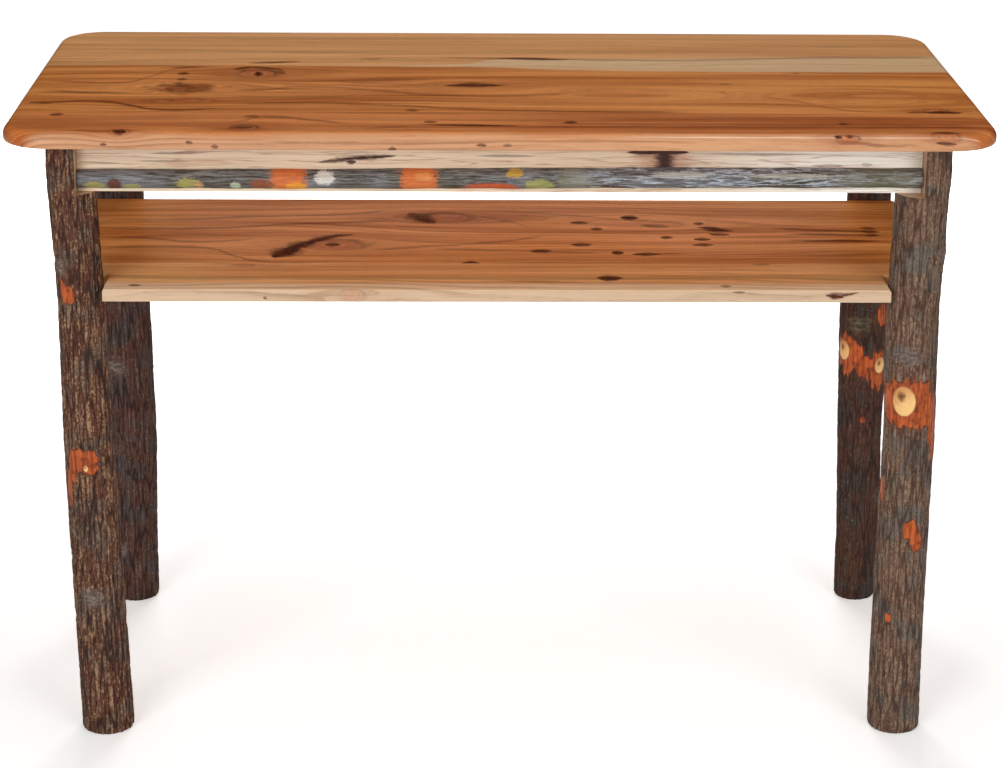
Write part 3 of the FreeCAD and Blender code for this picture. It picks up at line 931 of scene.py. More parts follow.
# %% Build the shelf
def drawn_panel(outline, z_low, z_high, rounding, name):
    """A flat outline raised to a thickness, its upper arrises rounded."""
    mesh = bmesh.new()
    base = mesh.faces.new([mesh.verts.new((x, y, z_low)) for x, y in outline])
    raised = bmesh.ops.extrude_face_region(mesh, geom=[base])
    up = [part for part in raised["geom"] if isinstance(part, bmesh.types.BMVert)]
    bmesh.ops.translate(mesh, vec=(0, 0, z_high - z_low), verts=up)
    bmesh.ops.recalc_face_normals(mesh, faces=mesh.faces)
    rim = [edge for edge in mesh.edges if all(abs(v.co.z - z_high) < 1e-6 for v in edge.verts)]
    bmesh.ops.bevel(mesh, geom=rim, offset=rounding, segments=5, profile=0.5, affect="EDGES")
    return finished(mesh, name)


SHELF_ROUND = 3 * MM
shelf_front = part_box("shelf_board_front")[0].y
(_, _, shelf_low), (shelf_half, shelf_back, shelf_high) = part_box("shelf_board_rear")
shelf_outline = [
    (left_x, shelf_front), (right_x, shelf_front), (right_x, notch_y), (shelf_half, notch_y),
    (shelf_half, shelf_back), (-shelf_half, shelf_back), (-shelf_half, notch_y), (left_x, notch_y),
]
shelf = drawn_panel(shelf_outline, shelf_low, shelf_high, SHELF_ROUND, "whole_shelf")
boards_from(shelf, shelf_woods, "hickory_shelf")

# %% [markdown]
# ## Aprons
# The aprons are sapwood, cream with a few brown knots and red flecks. Sapwood has little contrast
# between its rings, so the rings are only a slight shade, and what shows are thin veins, drawn
# where a noise is near its middle value. The knot is three broad strokes with a soft brown halo.

# %% Sapwood material
KNOT_PLACE = (84.0, 716.0, 0.0)


def apron_knot(finish, x, z, tone, marks):
    """The brown halo of the knot, squeezed to an oval, and the strokes."""
    rough = noise(joined(x * 0.01, z * 0.1, 9.0)) - 0.5
    away = vector("DISTANCE", joined(x * 0.45, z, 0.0), KNOT_PLACE)
    tone = mix((1.0 - step(away + rough * 18.0, 8.0, 20.0)) * 0.55, tone, colour(176, 112, 80))
    return mix(strokes(finish.tree, joined(x, z, 0.0), marks, 1.2), tone, colour(62, 24, 12))


def cream_wood(name, marks=(), crosswise=False):
    """Cream sapwood with thin growth lines, red flecks and the given brown strokes (x, z)."""
    finish = Finish(name, crosswise)
    x, y, z = split(finish.point)
    late, bands, fibre, pores = use(GRAIN, finish.tree, finish.point, z + y * 0.9, 9.0, 31.0)
    tone = mix(step(bands, 0.35, 0.7), colour(234, 212, 184), colour(216, 190, 160))
    tone = mix(step(x, 150.0, 400.0) * 0.9, tone, colour(246, 242, 230))
    tone = scaled(tone, 1.0 - late * 0.16)
    tone = scaled(tone, 0.9 + fibre * 0.2)
    fleck = noise(joined(x * 0.012, z * 0.14, y * 0.05))
    tone = mix(step(fleck, 0.60, 0.74) * 0.4, tone, colour(176, 110, 76))
    vein = noise(joined(x * 0.010, z * 0.55, y * 0.1 + 4.0), 4.0, 0.62)
    tone = mix(step(vein, 0.54, 0.64) * 0.4, tone, colour(158, 116, 88))
    level = noise(joined(x * 0.0045, z * 0.11, y * 0.1 + 7.0), 3.0, 0.55)
    thin = 1.0 - step(calc("ABSOLUTE", level - 0.5), 0.0, 0.022)
    tone = mix(thin * 0.5, tone, colour(142, 96, 68))
    if marks:
        tone = apron_knot(finish, x, z, tone, marks)
    finish.set({"Base Color": mix(finish.ends() * 0.6, tone, colour(186, 148, 106)),
                "Roughness": 0.38 + fibre * 0.1, "Specular IOR Level": 0.35})
    finish.bump(fibre - late * 0.5, 0.2, 0.0002)
    print(name, "has", len(marks), "strokes")
    return finish.material


# %% [markdown]
# The aprons are plain boards with arrises just broken by sandpaper, so each is a box from the CAD
# node's corners with a fine bevel.

# %% Build the aprons
ARRIS_EASE = 0.8 * MM


def block(low, high):
    """A box between two corners, as a bmesh."""
    mesh = bmesh.new()
    bmesh.ops.create_cube(mesh, size=1)
    bmesh.ops.scale(mesh, vec=high - low, verts=mesh.verts)
    bmesh.ops.translate(mesh, vec=(low + high) / 2, verts=mesh.verts)
    return mesh


def eased_board(node, name):
    """A board that fills a node's box, with its arrises broken."""
    mesh = block(*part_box(node))
    bmesh.ops.bevel(mesh, geom=mesh.edges[:], offset=ARRIS_EASE, segments=2, profile=0.5,
                    affect="EDGES")
    return finished(mesh, name)


FRONT_APRON_MARKS = (
    (-208, 711, -160, 716, 3.4, 0.9), (-186, 715, -118, 719, 3.6, 1.0),
    (-176, 712, -164, 712, 4.5, 0.95), (-400, 721, -330, 722, 2, 0.5),
    (-478, 711, -430, 709, 2, 0.45), (-415, 712, -350, 712, 2, 0.45), (184, 742, 188, 692, 15, 1.0),
    (160, 724, 214, 724, 6, 1.0), (142, 724, 184, 723, 4, 1.0), (-30, 719, 40, 719, 2, 0.5),
    (210, 722, 360, 722, 2, 0.5), (352, 708, 390, 709, 3, 0.4), (410, 710, 424, 710, 3, 0.4),
)
end_apron_wood = cream_wood("Cream sapwood, ends", crosswise=True)
apron_woods = {"apron_front": cream_wood("Cream sapwood, front", FRONT_APRON_MARKS),
               "apron_rear": cream_wood("Cream sapwood, rear"),
               "apron_left": end_apron_wood, "apron_right": end_apron_wood}
for name, wood in apron_woods.items():
    board = eased_board(name, "sanded_" + name)
    coat(board, wood)
    dress(board, "hickory_sapwood", name)
    print(name, "board,", len(board.data.polygons), "faces")

# %% [markdown]
# ## Bearers and cleats
# These bars are never seen from above. Their CAD solids have the real holes and slots, so they stay
# as they are and only get a material. Those at the ends lie crosswise.

# %% Bearers and cleats
bar_woods = [sawn_wood(f"Plain hickory bars, {way}", colour(206, 164, 116), colour(182, 136, 92),
                       8.0, 40.0, heart=(0, 0, 700), line_strength=0.2,
                       crosswise=way == "crosswise")
             for way in ("lengthwise", "crosswise")]
for name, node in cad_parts.items():
    if name.startswith(("shelf_bearer", "top_cleat")):
        coat(node, bar_woods[name.endswith(("left", "right"))])
        print(name, "keeps its CAD solid")

# %% [markdown]
# ## Poles with their bark on
# Hickory bark is a net of long ridges that part and meet again, with dark clefts between them. It
# could be painted on a plain post, but its outline would stay smooth, so the relief is real. A pole
# is first a smooth dense tube round the centres and girths read from the CAD pole. Geometry Nodes
# then press the bark's relief into it.

# %% Read the CAD poles
def pole_rings(node):
    """Height, centre and radius of each whole ring of the CAD pole, bottom to top."""
    points = cad_points(node)
    heights = np.unique(points[:, 2].round(5))
    rings = []
    for height in heights:
        ring = points[abs(points[:, 2] - height) < 2e-5]
        low, high = ring.min(0), ring.max(0)
        size = (high - low)[:2]
        if len(ring) > 20 and abs(size[0] - size[1]) < 0.01 * size.max():
            rings.append((height, *((low + high) / 2)[:2], size.max() / 2))
    return np.array(rings)


POLES = ("leg_front_left", "leg_front_right", "leg_rear_left", "leg_rear_right")
pole_shapes = {name: pole_rings(name) for name in POLES}
for name, rings in pole_shapes.items():
    print(name, "rings at", rings[:, 0].round(3).tolist())

# %% [markdown]
# Where each branch stood: its angle round the pole (0 faces right, -90 faces the front), its
# height, and half its width and height, in degrees and millimetres. `BARE` places have lost their
# bark, `SAWN` places are the pale stubs themselves, `SCARS` have healed over in wrinkles, and
# `BUMPS` are swellings that kept their bark: angle, height, size and rise. A `CRACK` runs from one
# place to another, and its last number is its width.

# %% Places on the poles
BARE = {
    "leg_front_left": ((-113, 558, 8, 13), (-126, 562, 5, 17), (-104, 356, 22, 15),
                       (-84, 346, 12, 9), (-132, 344, 8, 20), (-148, 318, 7, 26)),
    "leg_front_right": ((-108, 426, 44, 33), (-66, 418, 18, 24), (-34, 398, 12, 48),
                        (-166, 315, 8, 17), (-82, 268, 12, 14), (-66, 252, 9, 13),
                        (-122, 152, 5, 8)),
    "leg_rear_left": ((60, 430, 16, 20), (170, 250, 12, 22)),
    "leg_rear_right": ((-146, 352, 18, 30), (-120, 352, 16, 22), (-92, 338, 16, 17),
                       (-54, 330, 17, 30), (-47, 408, 8, 18), (-92, 262, 4, 6),
                       (100, 560, 14, 20)),
}
SAWN = {
    "leg_front_left": ((-93, 346, 3, 4),),
    "leg_front_right": ((-113, 431, 14, 19),),
    "leg_rear_left": ((60, 430, 8, 10),),
    "leg_rear_right": ((-148, 357, 9, 14), (-50, 338, 8.5, 11.5)),
}
SCARS = {
    "leg_front_left": ((-98, 180, 15, 12), (-132, 590, 12, 9), (30, 300, 16, 12)),
    "leg_front_right": ((-104, 486, 20, 10), (-25, 608, 12, 9), (150, 200, 14, 11)),
    "leg_rear_left": ((-124, 336, 16, 14), (-130, 73, 12, 10), (20, 600, 14, 10)),
    "leg_rear_right": ((-110, 396, 18, 12), (-30, 150, 12, 10), (70, 250, 14, 10)),
}
BUMPS = {
    "leg_front_left": ((-172, 694, 10, 1.5), (-98, 180, 12, 2.5), (-130, 566, 10, 1.5),
                       (40, 300, 14, 2.0)),
    "leg_front_right": ((178, 470, 30, 1.0), (180, 384, 22, -1.0), (-20, 608, 9, 2.5),
                        (-10, 700, 16, 1.5), (-113, 431, 17, 1.5), (150, 200, 12, 2.0)),
    "leg_rear_left": ((-128, 336, 12, 2.0), (-132, 73, 10, 2.0), (20, 600, 12, 2.0)),
    "leg_rear_right": ((-5, 420, 60, 1.6), (-5, 330, 22, 0.8), (0, 245, 24, -1.2),
                       (-130, 410, 12, 2.0), (-148, 357, 12, 1.5), (-30, 150, 12, 2.0),
                       (70, 250, 12, 2.0)),
}
CRACKS = {
    "leg_front_left": (-140, 470, -122, 400, 0.7),
    "leg_front_right": (-128, 552, -48, 500, 0.9),
    "leg_rear_left": (-60, 480, -48, 380, 0.8),
    "leg_rear_right": (-120, 250, -108, 120, 0.7),
}
print("bare places on each pole:", [len(BARE[name]) for name in POLES])

# %% [markdown]
# Each point of the tube needs to know how far it is from the nearest of these places. The places
# are ovals, so the distance is counted in ovals: 0 in the middle and 1 on the border. NumPy does
# this for all points of a pole at once.

# %% Distances to the places
FAR_AWAY = 9.0


def turned_from(angle, place_angle):
    """The way round from a place to each point, from minus a half turn to a half turn."""
    return (angle - radians(place_angle) + pi) % tau - pi


def place_on(angle, height, radius, places):
    """Each point's place across and along the nearest of some ovals, whose border is 1 away."""
    best = np.full((*angle.shape, 3), FAR_AWAY)
    nearest = np.full(angle.shape, FAR_AWAY)
    for place_angle, place_height, half_width, half_height in places:
        across = turned_from(angle, place_angle) * radius / (half_width * MM)
        along = (height - place_height * MM) / (half_height * MM)
        away = np.hypot(across, along)
        closer = away < nearest
        nearest = np.where(closer, away, nearest)
        best[closer] = np.stack([across, along, 0 * away], axis=-1)[closer]
    return best


def reach_of(angle, height, radius, places):
    """How far each point lies from the nearest oval, 1 being its own border."""
    return np.hypot(*np.moveaxis(place_on(angle, height, radius, places)[..., :2], -1, 0))


def crack_of(angle, height, radius, crack):
    """1 along a crack and 0 away from it."""
    start, start_height, end, end_height, width = crack
    run = np.array([radians(end - start) * radius.mean(), (end_height - start_height) * MM])
    out = np.stack([turned_from(angle, start) * radius, height - start_height * MM], axis=-1)
    share = np.clip(out @ run / (run @ run), 0, 1)
    away = np.linalg.norm(out - share[..., None] * run, axis=-1)
    return np.exp(-(away / (width * MM)) ** 2) * np.sin(np.clip(share, 0.08, 0.92) * pi)


print("points with no place near them count as", FAR_AWAY, "ovals away")

# %% [markdown]
# The tube is a grid of points that closes on itself. It is dense enough for a cleft to be a few
# faces wide, and smooth, with a slightly uneven girth, because no pole is a true circle. Along with
# its points it carries what the bark tree reads: the way outwards and the distances to the places.

# %% Build a dense tube
AROUND, ALONG = 176, 420


def slow(values, window):
    """A running mean that keeps its ends."""
    padded = np.pad(values, window // 2, mode="edge")
    return np.convolve(padded, np.ones(window) / window, "valid")[: len(values)]


def closed_tube(grid, name, extras):
    """A mesh from rows of points that go round, its two ends closed, with point attributes."""
    rows, columns = grid.shape[:2]
    index = np.arange(rows * columns).reshape(rows, columns)
    ahead = np.roll(index, -1, axis=1)
    quads = np.stack([index[:-1], ahead[:-1], ahead[1:], index[1:]], axis=-1).reshape(-1, 4)
    faces = quads.tolist() + [index[0][::-1].tolist(), index[-1].tolist()]
    data = bpy.data.meshes.new(name)
    data.from_pydata(grid.reshape(-1, 3), [], faces)
    for label, values in extras.items():
        kind, field = ("FLOAT_VECTOR", "vector") if values.ndim == 3 else ("FLOAT", "value")
        layer = data.attributes.new(label, kind, "POINT")
        layer.data.foreach_set(field, values.astype(np.float32).ravel())
    data.shade_smooth()
    return shown(name, data)


# %% A pole's tube
SMOOTHED_OVER, SKIN, FOOT_EASE = 0.05, 0.7 * MM, 2.5 * MM


def pole_tube(node, seed):
    """A smooth dense pole on the CAD pole's own line, with its bumps and its attributes."""
    rings = pole_shapes[node][1:]
    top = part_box(node)[1].z
    height = np.linspace(0.0, top, ALONG)
    window = int(SMOOTHED_OVER / (top / ALONG))
    centre_x, centre_y, girth = (slow(np.interp(height, rings[:, 0], rings[:, k]), window)
                                 for k in (1, 2, 3))
    angle = np.arange(AROUND) / AROUND * tau
    angles, heights = np.meshgrid(angle, height)
    girths = girth[:, None]
    uneven = (1 + 0.012 * np.cos(2 * angles + 5 * heights + seed)
              + 0.008 * np.cos(3 * angles + 9 * heights))
    reach = girths * (uneven - 0.004) + SKIN - np.maximum(0.0, FOOT_EASE - heights) * 0.8
    for bump_angle, bump_height, size, rise in BUMPS[node]:
        away = reach_of(angles, heights, girths, ((bump_angle, bump_height, size, size * 1.5),))
        reach += rise * MM * np.exp(-away ** 2)
    out = np.stack([np.cos(angles), np.sin(angles), np.zeros_like(angles)], axis=-1)
    line = np.stack([centre_x[:, None] + 0 * angles, centre_y[:, None] + 0 * angles, heights],
                    axis=-1)
    around = (angles, heights, girths)
    extras = {
        "outward": out,
        "bare_reach": reach_of(*around, BARE[node]),
        "scar_reach": reach_of(*around, SCARS[node]),
        "sawn_place": place_on(*around, SAWN[node]),
        "crack": crack_of(*around, CRACKS[node]),
    }
    return closed_tube(out * reach[..., None] + line, "bark_" + node, extras)


print("a pole's tube has", AROUND * ALONG, "points")

# %% [markdown]
# ## The bark tree
# A geometry tree is a program for a mesh, and its inputs are the numbers that a maker would change:
# the size of a bark cell, how deep the clefts are, how much they wander. Its masks stay on the mesh
# as attributes, so that the material colours exactly what the tree has shaped. Every tree here ends
# with real instances and a material.

# %% Geometry tree helpers
def tree_inputs(name, inputs):
    """A geometry tree with its output node and a wire for each named input."""
    tree = bpy.data.node_groups.new(name, "GeometryNodeTree")
    for label, (kind, value) in inputs.items():
        socket = tree.interface.new_socket(label, in_out="INPUT", socket_type="NodeSocket" + kind)
        if value is not None:
            socket.default_value = value
    tree.interface.new_socket("Geometry", in_out="OUTPUT", socket_type="NodeSocketGeometry")
    start, end = add(tree, "NodeGroupInput"), add(tree, "NodeGroupOutput")
    return tree, {label: Wire(tree, start.outputs[label]) for label in inputs}, end


def attribute(tree, name, kind="FLOAT"):
    """A named attribute of the mesh."""
    return wired(tree, "GeometryNodeInputNamedAttribute", {"Name": name}, data_type=kind)


def store(geometry, name, value):
    """Keeps a value on the mesh under a name."""
    values = {"Geometry": geometry, "Name": name, "Value": value}
    return wired(geometry.tree, "GeometryNodeStoreNamedAttribute", values,
                 data_type="FLOAT", domain="POINT")


def end_tree(geometry, finish, end):
    """Ends a tree as the export needs: instances made real and a material set."""
    tree = geometry.tree
    real = wired(tree, "GeometryNodeRealizeInstances", (geometry,))
    painted = wired(tree, "GeometryNodeSetMaterial", {"Geometry": real, "Material": finish})
    feed(tree, end.inputs[0], painted)
    print("geometry tree", tree.name, "has", len(tree.nodes), "nodes")
    return tree


# %% [markdown]
# The clefts are the borders of random cells, stretched along the pole until they look like bark,
# and a finer net of cracks lies on the ridges. Over a healed scar the clefts fade and fine wrinkles
# take their place. Where a branch was sawn off, the bark is gone, and the surface there is lower
# and nearly smooth.

# %% Bark tree
def shares_of_relief(tree, at, place):
    """Clefts, cracks, grit and scars, each from 0 to 1, at a place in cells and in metres."""
    width = noise(at, 1.0, scale=0.35)
    cleft = 1.0 - step(cells(at, "DISTANCE_TO_EDGE"), 0.0, 0.06 + width * 0.34)
    finer = vector("MULTIPLY", at, (1.9, 1.9, 3.3))
    crack = 1.0 - step(cells(finer, "DISTANCE_TO_EDGE"), 0.0, 0.18)
    grit = noise(vector("MULTIPLY", at, (3.0, 3.0, 9.0)))
    scar_reach = attribute(tree, "scar_reach") + noise(scaled(place, 90.0), 3.0) * 1.6
    scarred = 1.0 - step(scar_reach, 1.1, 2.3)
    wrinkle = step(noise(vector("MULTIPLY", place, (110.0, 110.0, 420.0)), 3.0), 0.52, 0.66)
    cleft = cleft * (1.0 - scarred * 0.8) + wrinkle * scarred * 0.6
    return calc("MAXIMUM", cleft, attribute(tree, "crack")), crack, grit, scarred


def bark_tree():
    """Presses clefts, cracks, scars and bare places into a smooth mesh."""
    tree, given, end = tree_inputs("Bark relief", {
        "Geometry": ("Geometry", None), "Cell": ("Vector", (0.0058, 0.0058, 0.070)),
        "Depth": ("Float", 0.0014), "Crack depth": ("Float", 0.0006), "Wander": ("Float", 1.0),
        "Bare depth": ("Float", 0.0012), "Seed": ("Float", 0.0), "Finish": ("Material", None),
    })
    place = Wire(tree, add(tree, "GeometryNodeInputPosition").outputs[0])
    at = vector("DIVIDE", place, given["Cell"])
    at = vector("ADD", at, joined(given["Seed"], given["Seed"] * 1.7, given["Seed"] * 0.6))
    turns = noise(at, scale=0.6, output="Color")
    at = vector("ADD", at, scaled(vector("SUBTRACT", turns, (0.5, 0.5, 0.5)), given["Wander"]))
    cleft, crack, grit, scarred = shares_of_relief(tree, at, place)
    ragged = (noise(vector("MULTIPLY", at, (1.0, 1.0, 1.6)), 3.0, 0.6) - 0.5) * 1.3
    sawn_reach = vector("LENGTH", attribute(tree, "sawn_place", "FLOAT_VECTOR"))
    sawn = 1.0 - step(sawn_reach, 0.95, 1.06)
    bare = 1.0 - step(attribute(tree, "bare_reach") + ragged, 0.86, 1.0)
    bark = 1.0 - calc("MAXIMUM", bare, sawn)
    dip = cleft * given["Depth"] + crack * given["Crack depth"] + grit * 0.0005
    dip = dip * bark + bare * given["Bare depth"] * (1.0 - sawn) + bare * grit * 0.0003
    inwards = scaled(attribute(tree, "outward", "FLOAT_VECTOR"), dip * -1.0)
    shape = wired(tree, "GeometryNodeSetPosition", {"Geometry": given["Geometry"],
                                                    "Offset": inwards})
    shape = store(shape, "cleft", calc("MAXIMUM", cleft, crack * 0.45) * bark)
    for label, mask in (("bare", bare), ("sawn", sawn), ("scar", scarred)):
        shape = store(shape, label, mask)
    return end_tree(shape, given["Finish"], end)


BARK = bark_tree()

# %% [markdown]
# A tree works as long as its modifier stays on the object. The finished piece is a plain mesh, so
# the result is copied out of Blender's evaluated scene and the modifier is taken off. A modifier's
# input is found by its socket's identifier, because names may change.

# %% Run a tree
def settled(piece):
    """Keeps what a piece's modifiers make as its plain mesh, and takes them off."""
    graph = bpy.context.evaluated_depsgraph_get()
    data = bpy.data.meshes.new_from_object(piece.evaluated_get(graph), depsgraph=graph,
                                           preserve_all_data_layers=True)
    piece.modifiers.clear()
    piece.data = data


def grown(piece, tree, **values):
    """Runs a geometry tree on a piece with some of its inputs set."""
    modifier = piece.modifiers.new(tree.name, "NODES")
    modifier.node_group = tree
    for item in tree.interface.items_tree:
        label = item.name.replace(" ", "_")
        if item.in_out == "INPUT" and label in values:
            modifier[item.identifier] = values[label]
    settled(piece)


print("inputs of the bark tree:", [item.name for item in BARK.interface.items_tree][1:])

# %% [markdown]
# ## Bark as a material
# The masks that the geometry left on the mesh say where the wood is bare: raw orange-brown with
# darker streaks. A sawn stub is cream with its own rings and a dark heart.

# %% Bare wood and stub groups
def bare_wood_formula(point, stretch):
    """Streaked raw wood with darker blotches."""
    streak = noise(vector("MULTIPLY", point, stretch), 3.0, 0.6)
    blotch = noise(point, scale=0.09)
    tone = mix(step(streak, 0.3, 0.65), colour(122, 50, 20), colour(194, 94, 40))
    return (mix(step(blotch, 0.5, 0.68) * 0.7, tone, colour(104, 40, 18)),)


def stub_formula(point, place):
    """A sawn branch: cream, with rings round a dark heart and a brown border."""
    rough = noise(point, 3.0, scale=0.22) - 0.5
    heart = vector("LENGTH", vector("SUBTRACT", place, (-0.18, 0.3, 0.0))) + rough * 0.5
    rings = calc("SINE", heart * 22.0) * 0.5 + 0.5
    side, up = split(place)[:2]
    shade = step(up - side * 0.5 + rough, -0.5, 0.9)
    tone = mix(shade, colour(240, 194, 128), colour(204, 146, 88))
    tone = mix(rings * 0.1, tone, colour(176, 116, 66))
    tone = mix((1.0 - step(heart, 0.16, 0.42)) * 0.8, tone, colour(104, 58, 32))
    tone = mix((1.0 - step(heart, 0.0, 0.18)) * 0.8, tone, colour(48, 24, 16))
    border = step(vector("LENGTH", place) + rough * 0.1, 0.9, 0.98)
    return (mix(border * 0.8, tone, colour(140, 76, 38)),)


BARE_WOOD = group("Bare wood under bark", {"Point": VECTOR, "Stretch": VECTOR}, {"Colour": RGBA},
                  bare_wood_formula)
STUB = group("Sawn stub", {"Point": VECTOR, "Place": VECTOR}, {"Colour": RGBA}, stub_formula)

# %% [markdown]
# The clefts are dark and reddish, the ridges grey and tan, with fibres along them and pale lichen
# in places. Each pole has its own mixture, the two rear poles darker than the front ones, and its
# own stretch, which says how many fibres there are in a millimetre across and along.

# %% Bark material
def mask_of(finish, name, output="Fac"):
    """An attribute that the mesh carries, read by a shader."""
    made = add(finish.tree, "ShaderNodeAttribute", attribute_name=name)
    return Wire(finish.tree, made.outputs[output])


def bark_material(name, base, ridge, stain, shares, stretch,
                  healed=colour(136, 128, 122), healed_dark=colour(74, 64, 60)):
    """Bark from the masks on its mesh. `shares` says how much ridge, stain, lichen and cleft it
    has."""
    finish = Finish(name)
    tree, point = finish.tree, finish.point
    cleft, bare, sawn, scar = (mask_of(finish, label)
                               for label in ("cleft", "bare", "sawn", "scar"))
    ridge_share, stain_share, lichen_share, cleft_share = shares
    drift = noise(scaled(point, 0.03), scale=5.0, output="Color")
    fine = vector("ADD", vector("MULTIPLY", point, stretch), scaled(drift, 3.0))
    fibre = noise(fine, 3.0, 0.62)
    thread = noise(vector("MULTIPLY", fine, (2.6, 2.6, 1.0)))
    broad = noise(scaled(point, 0.028))
    speck = noise(scaled(point, 0.33), 2.0, 0.6)
    tone = mix(step(fibre, 0.47, 0.64) * ridge_share, base, ridge)
    tone = mix(step(broad, 0.48, 0.62) * stain_share, tone, stain)
    tone = scaled(tone, 0.62 + thread * 0.76)
    tone = scaled(tone, 1.0 - (1.0 - step(fibre, 0.34, 0.46)) * 0.45)
    lichen = step(speck, 0.6, 0.72) * step(broad, 0.44, 0.56)
    tone = mix(lichen * lichen_share, tone, colour(164, 158, 138))
    patch = noise(vector("MULTIPLY", point, (0.12, 0.12, 0.36)), 3.0, 0.65)
    tone = mix(scar * 0.6, tone, mix(step(patch, 0.4, 0.62), healed_dark, healed))
    reddish = mix(step(broad, 0.4, 0.6), colour(92, 44, 30), colour(64, 38, 30))
    tone = mix(step(cleft, 0.2, 0.7) * (0.7 * cleft_share), tone, reddish)
    tone = mix(step(cleft, 0.55, 1.0) * (0.9 * cleft_share), tone, colour(34, 22, 19))
    tone = mix(bare, tone, use(BARE_WOOD, tree, point, tuple(part * 0.8 for part in stretch)))
    torn = step(bare, 0.05, 0.5) * (1.0 - step(bare, 0.5, 0.95))
    tone = mix(torn * 0.85, tone, colour(52, 26, 18))
    stub = use(STUB, tree, point, mask_of(finish, "sawn_place", "Vector"))
    finish.set({"Base Color": mix(sawn, tone, stub), "Specular IOR Level": 0.25,
                "Roughness": 0.66 + fibre * 0.2 - bare * 0.25 - sawn * 0.1})
    finish.bump(fibre * (1.0 - sawn * 0.8) + thread * 0.4, 0.7, 0.0008)
    return finish.material


# %% Bark of each pole
POLE_STRETCH = (0.30, 0.30, 0.028)
barks = {
    "leg_front_left": bark_material(
        "Furrowed bark", colour(90, 56, 39), colour(176, 142, 110), colour(86, 78, 70),
        (0.7, 0.5, 0.3, 0.9), POLE_STRETCH),
    "leg_front_right": bark_material(
        "Grey bark", colour(106, 82, 65), colour(160, 138, 116), colour(98, 92, 86),
        (0.6, 0.7, 0.35, 0.6), (0.34, 0.34, 0.05)),
    "leg_rear_left": bark_material(
        "Dark bark", colour(70, 50, 42), colour(116, 96, 84), colour(72, 66, 66),
        (0.6, 0.6, 0.35, 1.0), POLE_STRETCH),
    "leg_rear_right": bark_material(
        "Dark grey bark", colour(64, 44, 33), colour(98, 78, 60), colour(58, 56, 52),
        (0.6, 0.7, 0.3, 0.9), (0.32, 0.32, 0.04), colour(116, 112, 88), colour(52, 50, 42)),
}
for node, bark in barks.items():
    print(node, "wears", bark.name)
cut_wood = sawn_wood("Cut wood of the poles", colour(226, 190, 150), colour(196, 156, 116), 6.0,
                     50.0, line_strength=0.2)

# %% [markdown]
# The joints are cut last, through bark and wood alike: a notch that takes the front or rear apron,
# a housing for the end apron and one for the bearer. Each cutter is a box that takes its size from
# the CAD board that goes there.

# %% Cutters for the joints
JOINT_GAP, OVERRUN = 0.3 * MM, 60 * MM


def cutters_for(node):
    """The low and high corners of the three cuts in a pole."""
    low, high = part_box(node)
    middle = (low + high) / 2
    side_x = 1 if middle.x > 0 else -1
    side_y = 1 if middle.y > 0 else -1
    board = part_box("apron_rear" if side_y > 0 else "apron_front")
    inner, outer = middle.x - side_x * OVERRUN, side_x * (board[1].x + JOINT_GAP)
    back = board[0].y if side_y > 0 else board[1].y
    front = middle.y + side_y * OVERRUN
    cuts = [(Vector((min(inner, outer), min(back, front), board[0].z)),
             Vector((max(inner, outer), max(back, front), high.z + OVERRUN)))]
    for label, rise in (("apron_", OVERRUN), ("shelf_bearer_", 0.0)):
        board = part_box(label + ("right" if side_x > 0 else "left"))
        near = board[0].y - JOINT_GAP if side_y < 0 else board[1].y + JOINT_GAP
        away = near - side_y * OVERRUN
        cuts.append((Vector((board[0].x - JOINT_GAP, min(near, away), board[0].z)),
                     Vector((board[1].x + JOINT_GAP, max(near, away), board[1].z + rise))))
    return cuts


def hollow(piece, tools):
    """Takes the tools' shapes out of a piece, and removes the tools."""
    for tool in tools:
        modifier = piece.modifiers.new(tool.name, "BOOLEAN")
        modifier.operation, modifier.solver, modifier.object = "DIFFERENCE", "MANIFOLD", tool
    settled(piece)
    for tool in tools:
        bpy.data.objects.remove(tool)


def cut_away(piece, cuts):
    """Takes boxes out of a piece."""
    hollow(piece, [finished(block(low, high), f"cut_{index}")
                   for index, (low, high) in enumerate(cuts)])


print("each pole gets", len(cutters_for(POLES[0])), "cuts")

# %% [markdown]
# The faces that a cut leaves are pale wood. They are told from the bark by their place: a flat face
# that lies on a side of a cutter, or on one of the pole's two sawn ends.

# %% Cut and finish the poles
NEAR = 1e-5


def mark_cut_faces(piece, cuts, top):
    """Gives the second material to faces that lie on a cut, and to the two sawn ends."""
    count = len(piece.data.polygons)
    centre, normal = np.zeros(count * 3), np.zeros(count * 3)
    piece.data.polygons.foreach_get("center", centre)
    piece.data.polygons.foreach_get("normal", normal)
    centre, normal = centre.reshape(-1, 3), normal.reshape(-1, 3)
    cut = (abs(normal[:, 2]) > 0.99) & ((centre[:, 2] < NEAR) | (centre[:, 2] > top - NEAR))
    flat = np.abs(normal).max(1) > 0.999
    for low, high in cuts:
        low, high = np.array(low), np.array(high)
        inside = np.all((centre > low - NEAR) & (centre < high + NEAR), axis=1)
        on_side = np.any((abs(centre - low) < NEAR) | (abs(centre - high) < NEAR), axis=1)
        cut |= inside & flat & on_side
    piece.data.polygons.foreach_set("material_index", cut.astype(np.int32))
    piece.data.set_sharp_from_angle(angle=radians(50))
    return int(cut.sum())


DEPTHS = {"leg_front_left": 1.5 * MM, "leg_front_right": 0.8 * MM, "leg_rear_left": 1.2 * MM,
          "leg_rear_right": 0.9 * MM}
for index, node in enumerate(POLES):
    tube = pole_tube(node, index * 1.7)
    grown(tube, BARK, Depth=DEPTHS[node], Seed=index * 7.3, Finish=barks[node])
    cuts = cutters_for(node)
    cut_away(tube, cuts)
    coat(tube, barks[node], cut_wood)
    made = mark_cut_faces(tube, cuts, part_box(node)[1].z)
    dress(tube, "pole_bark", node)
    print(node, len(tube.data.polygons), "faces,", made, "of them cut")

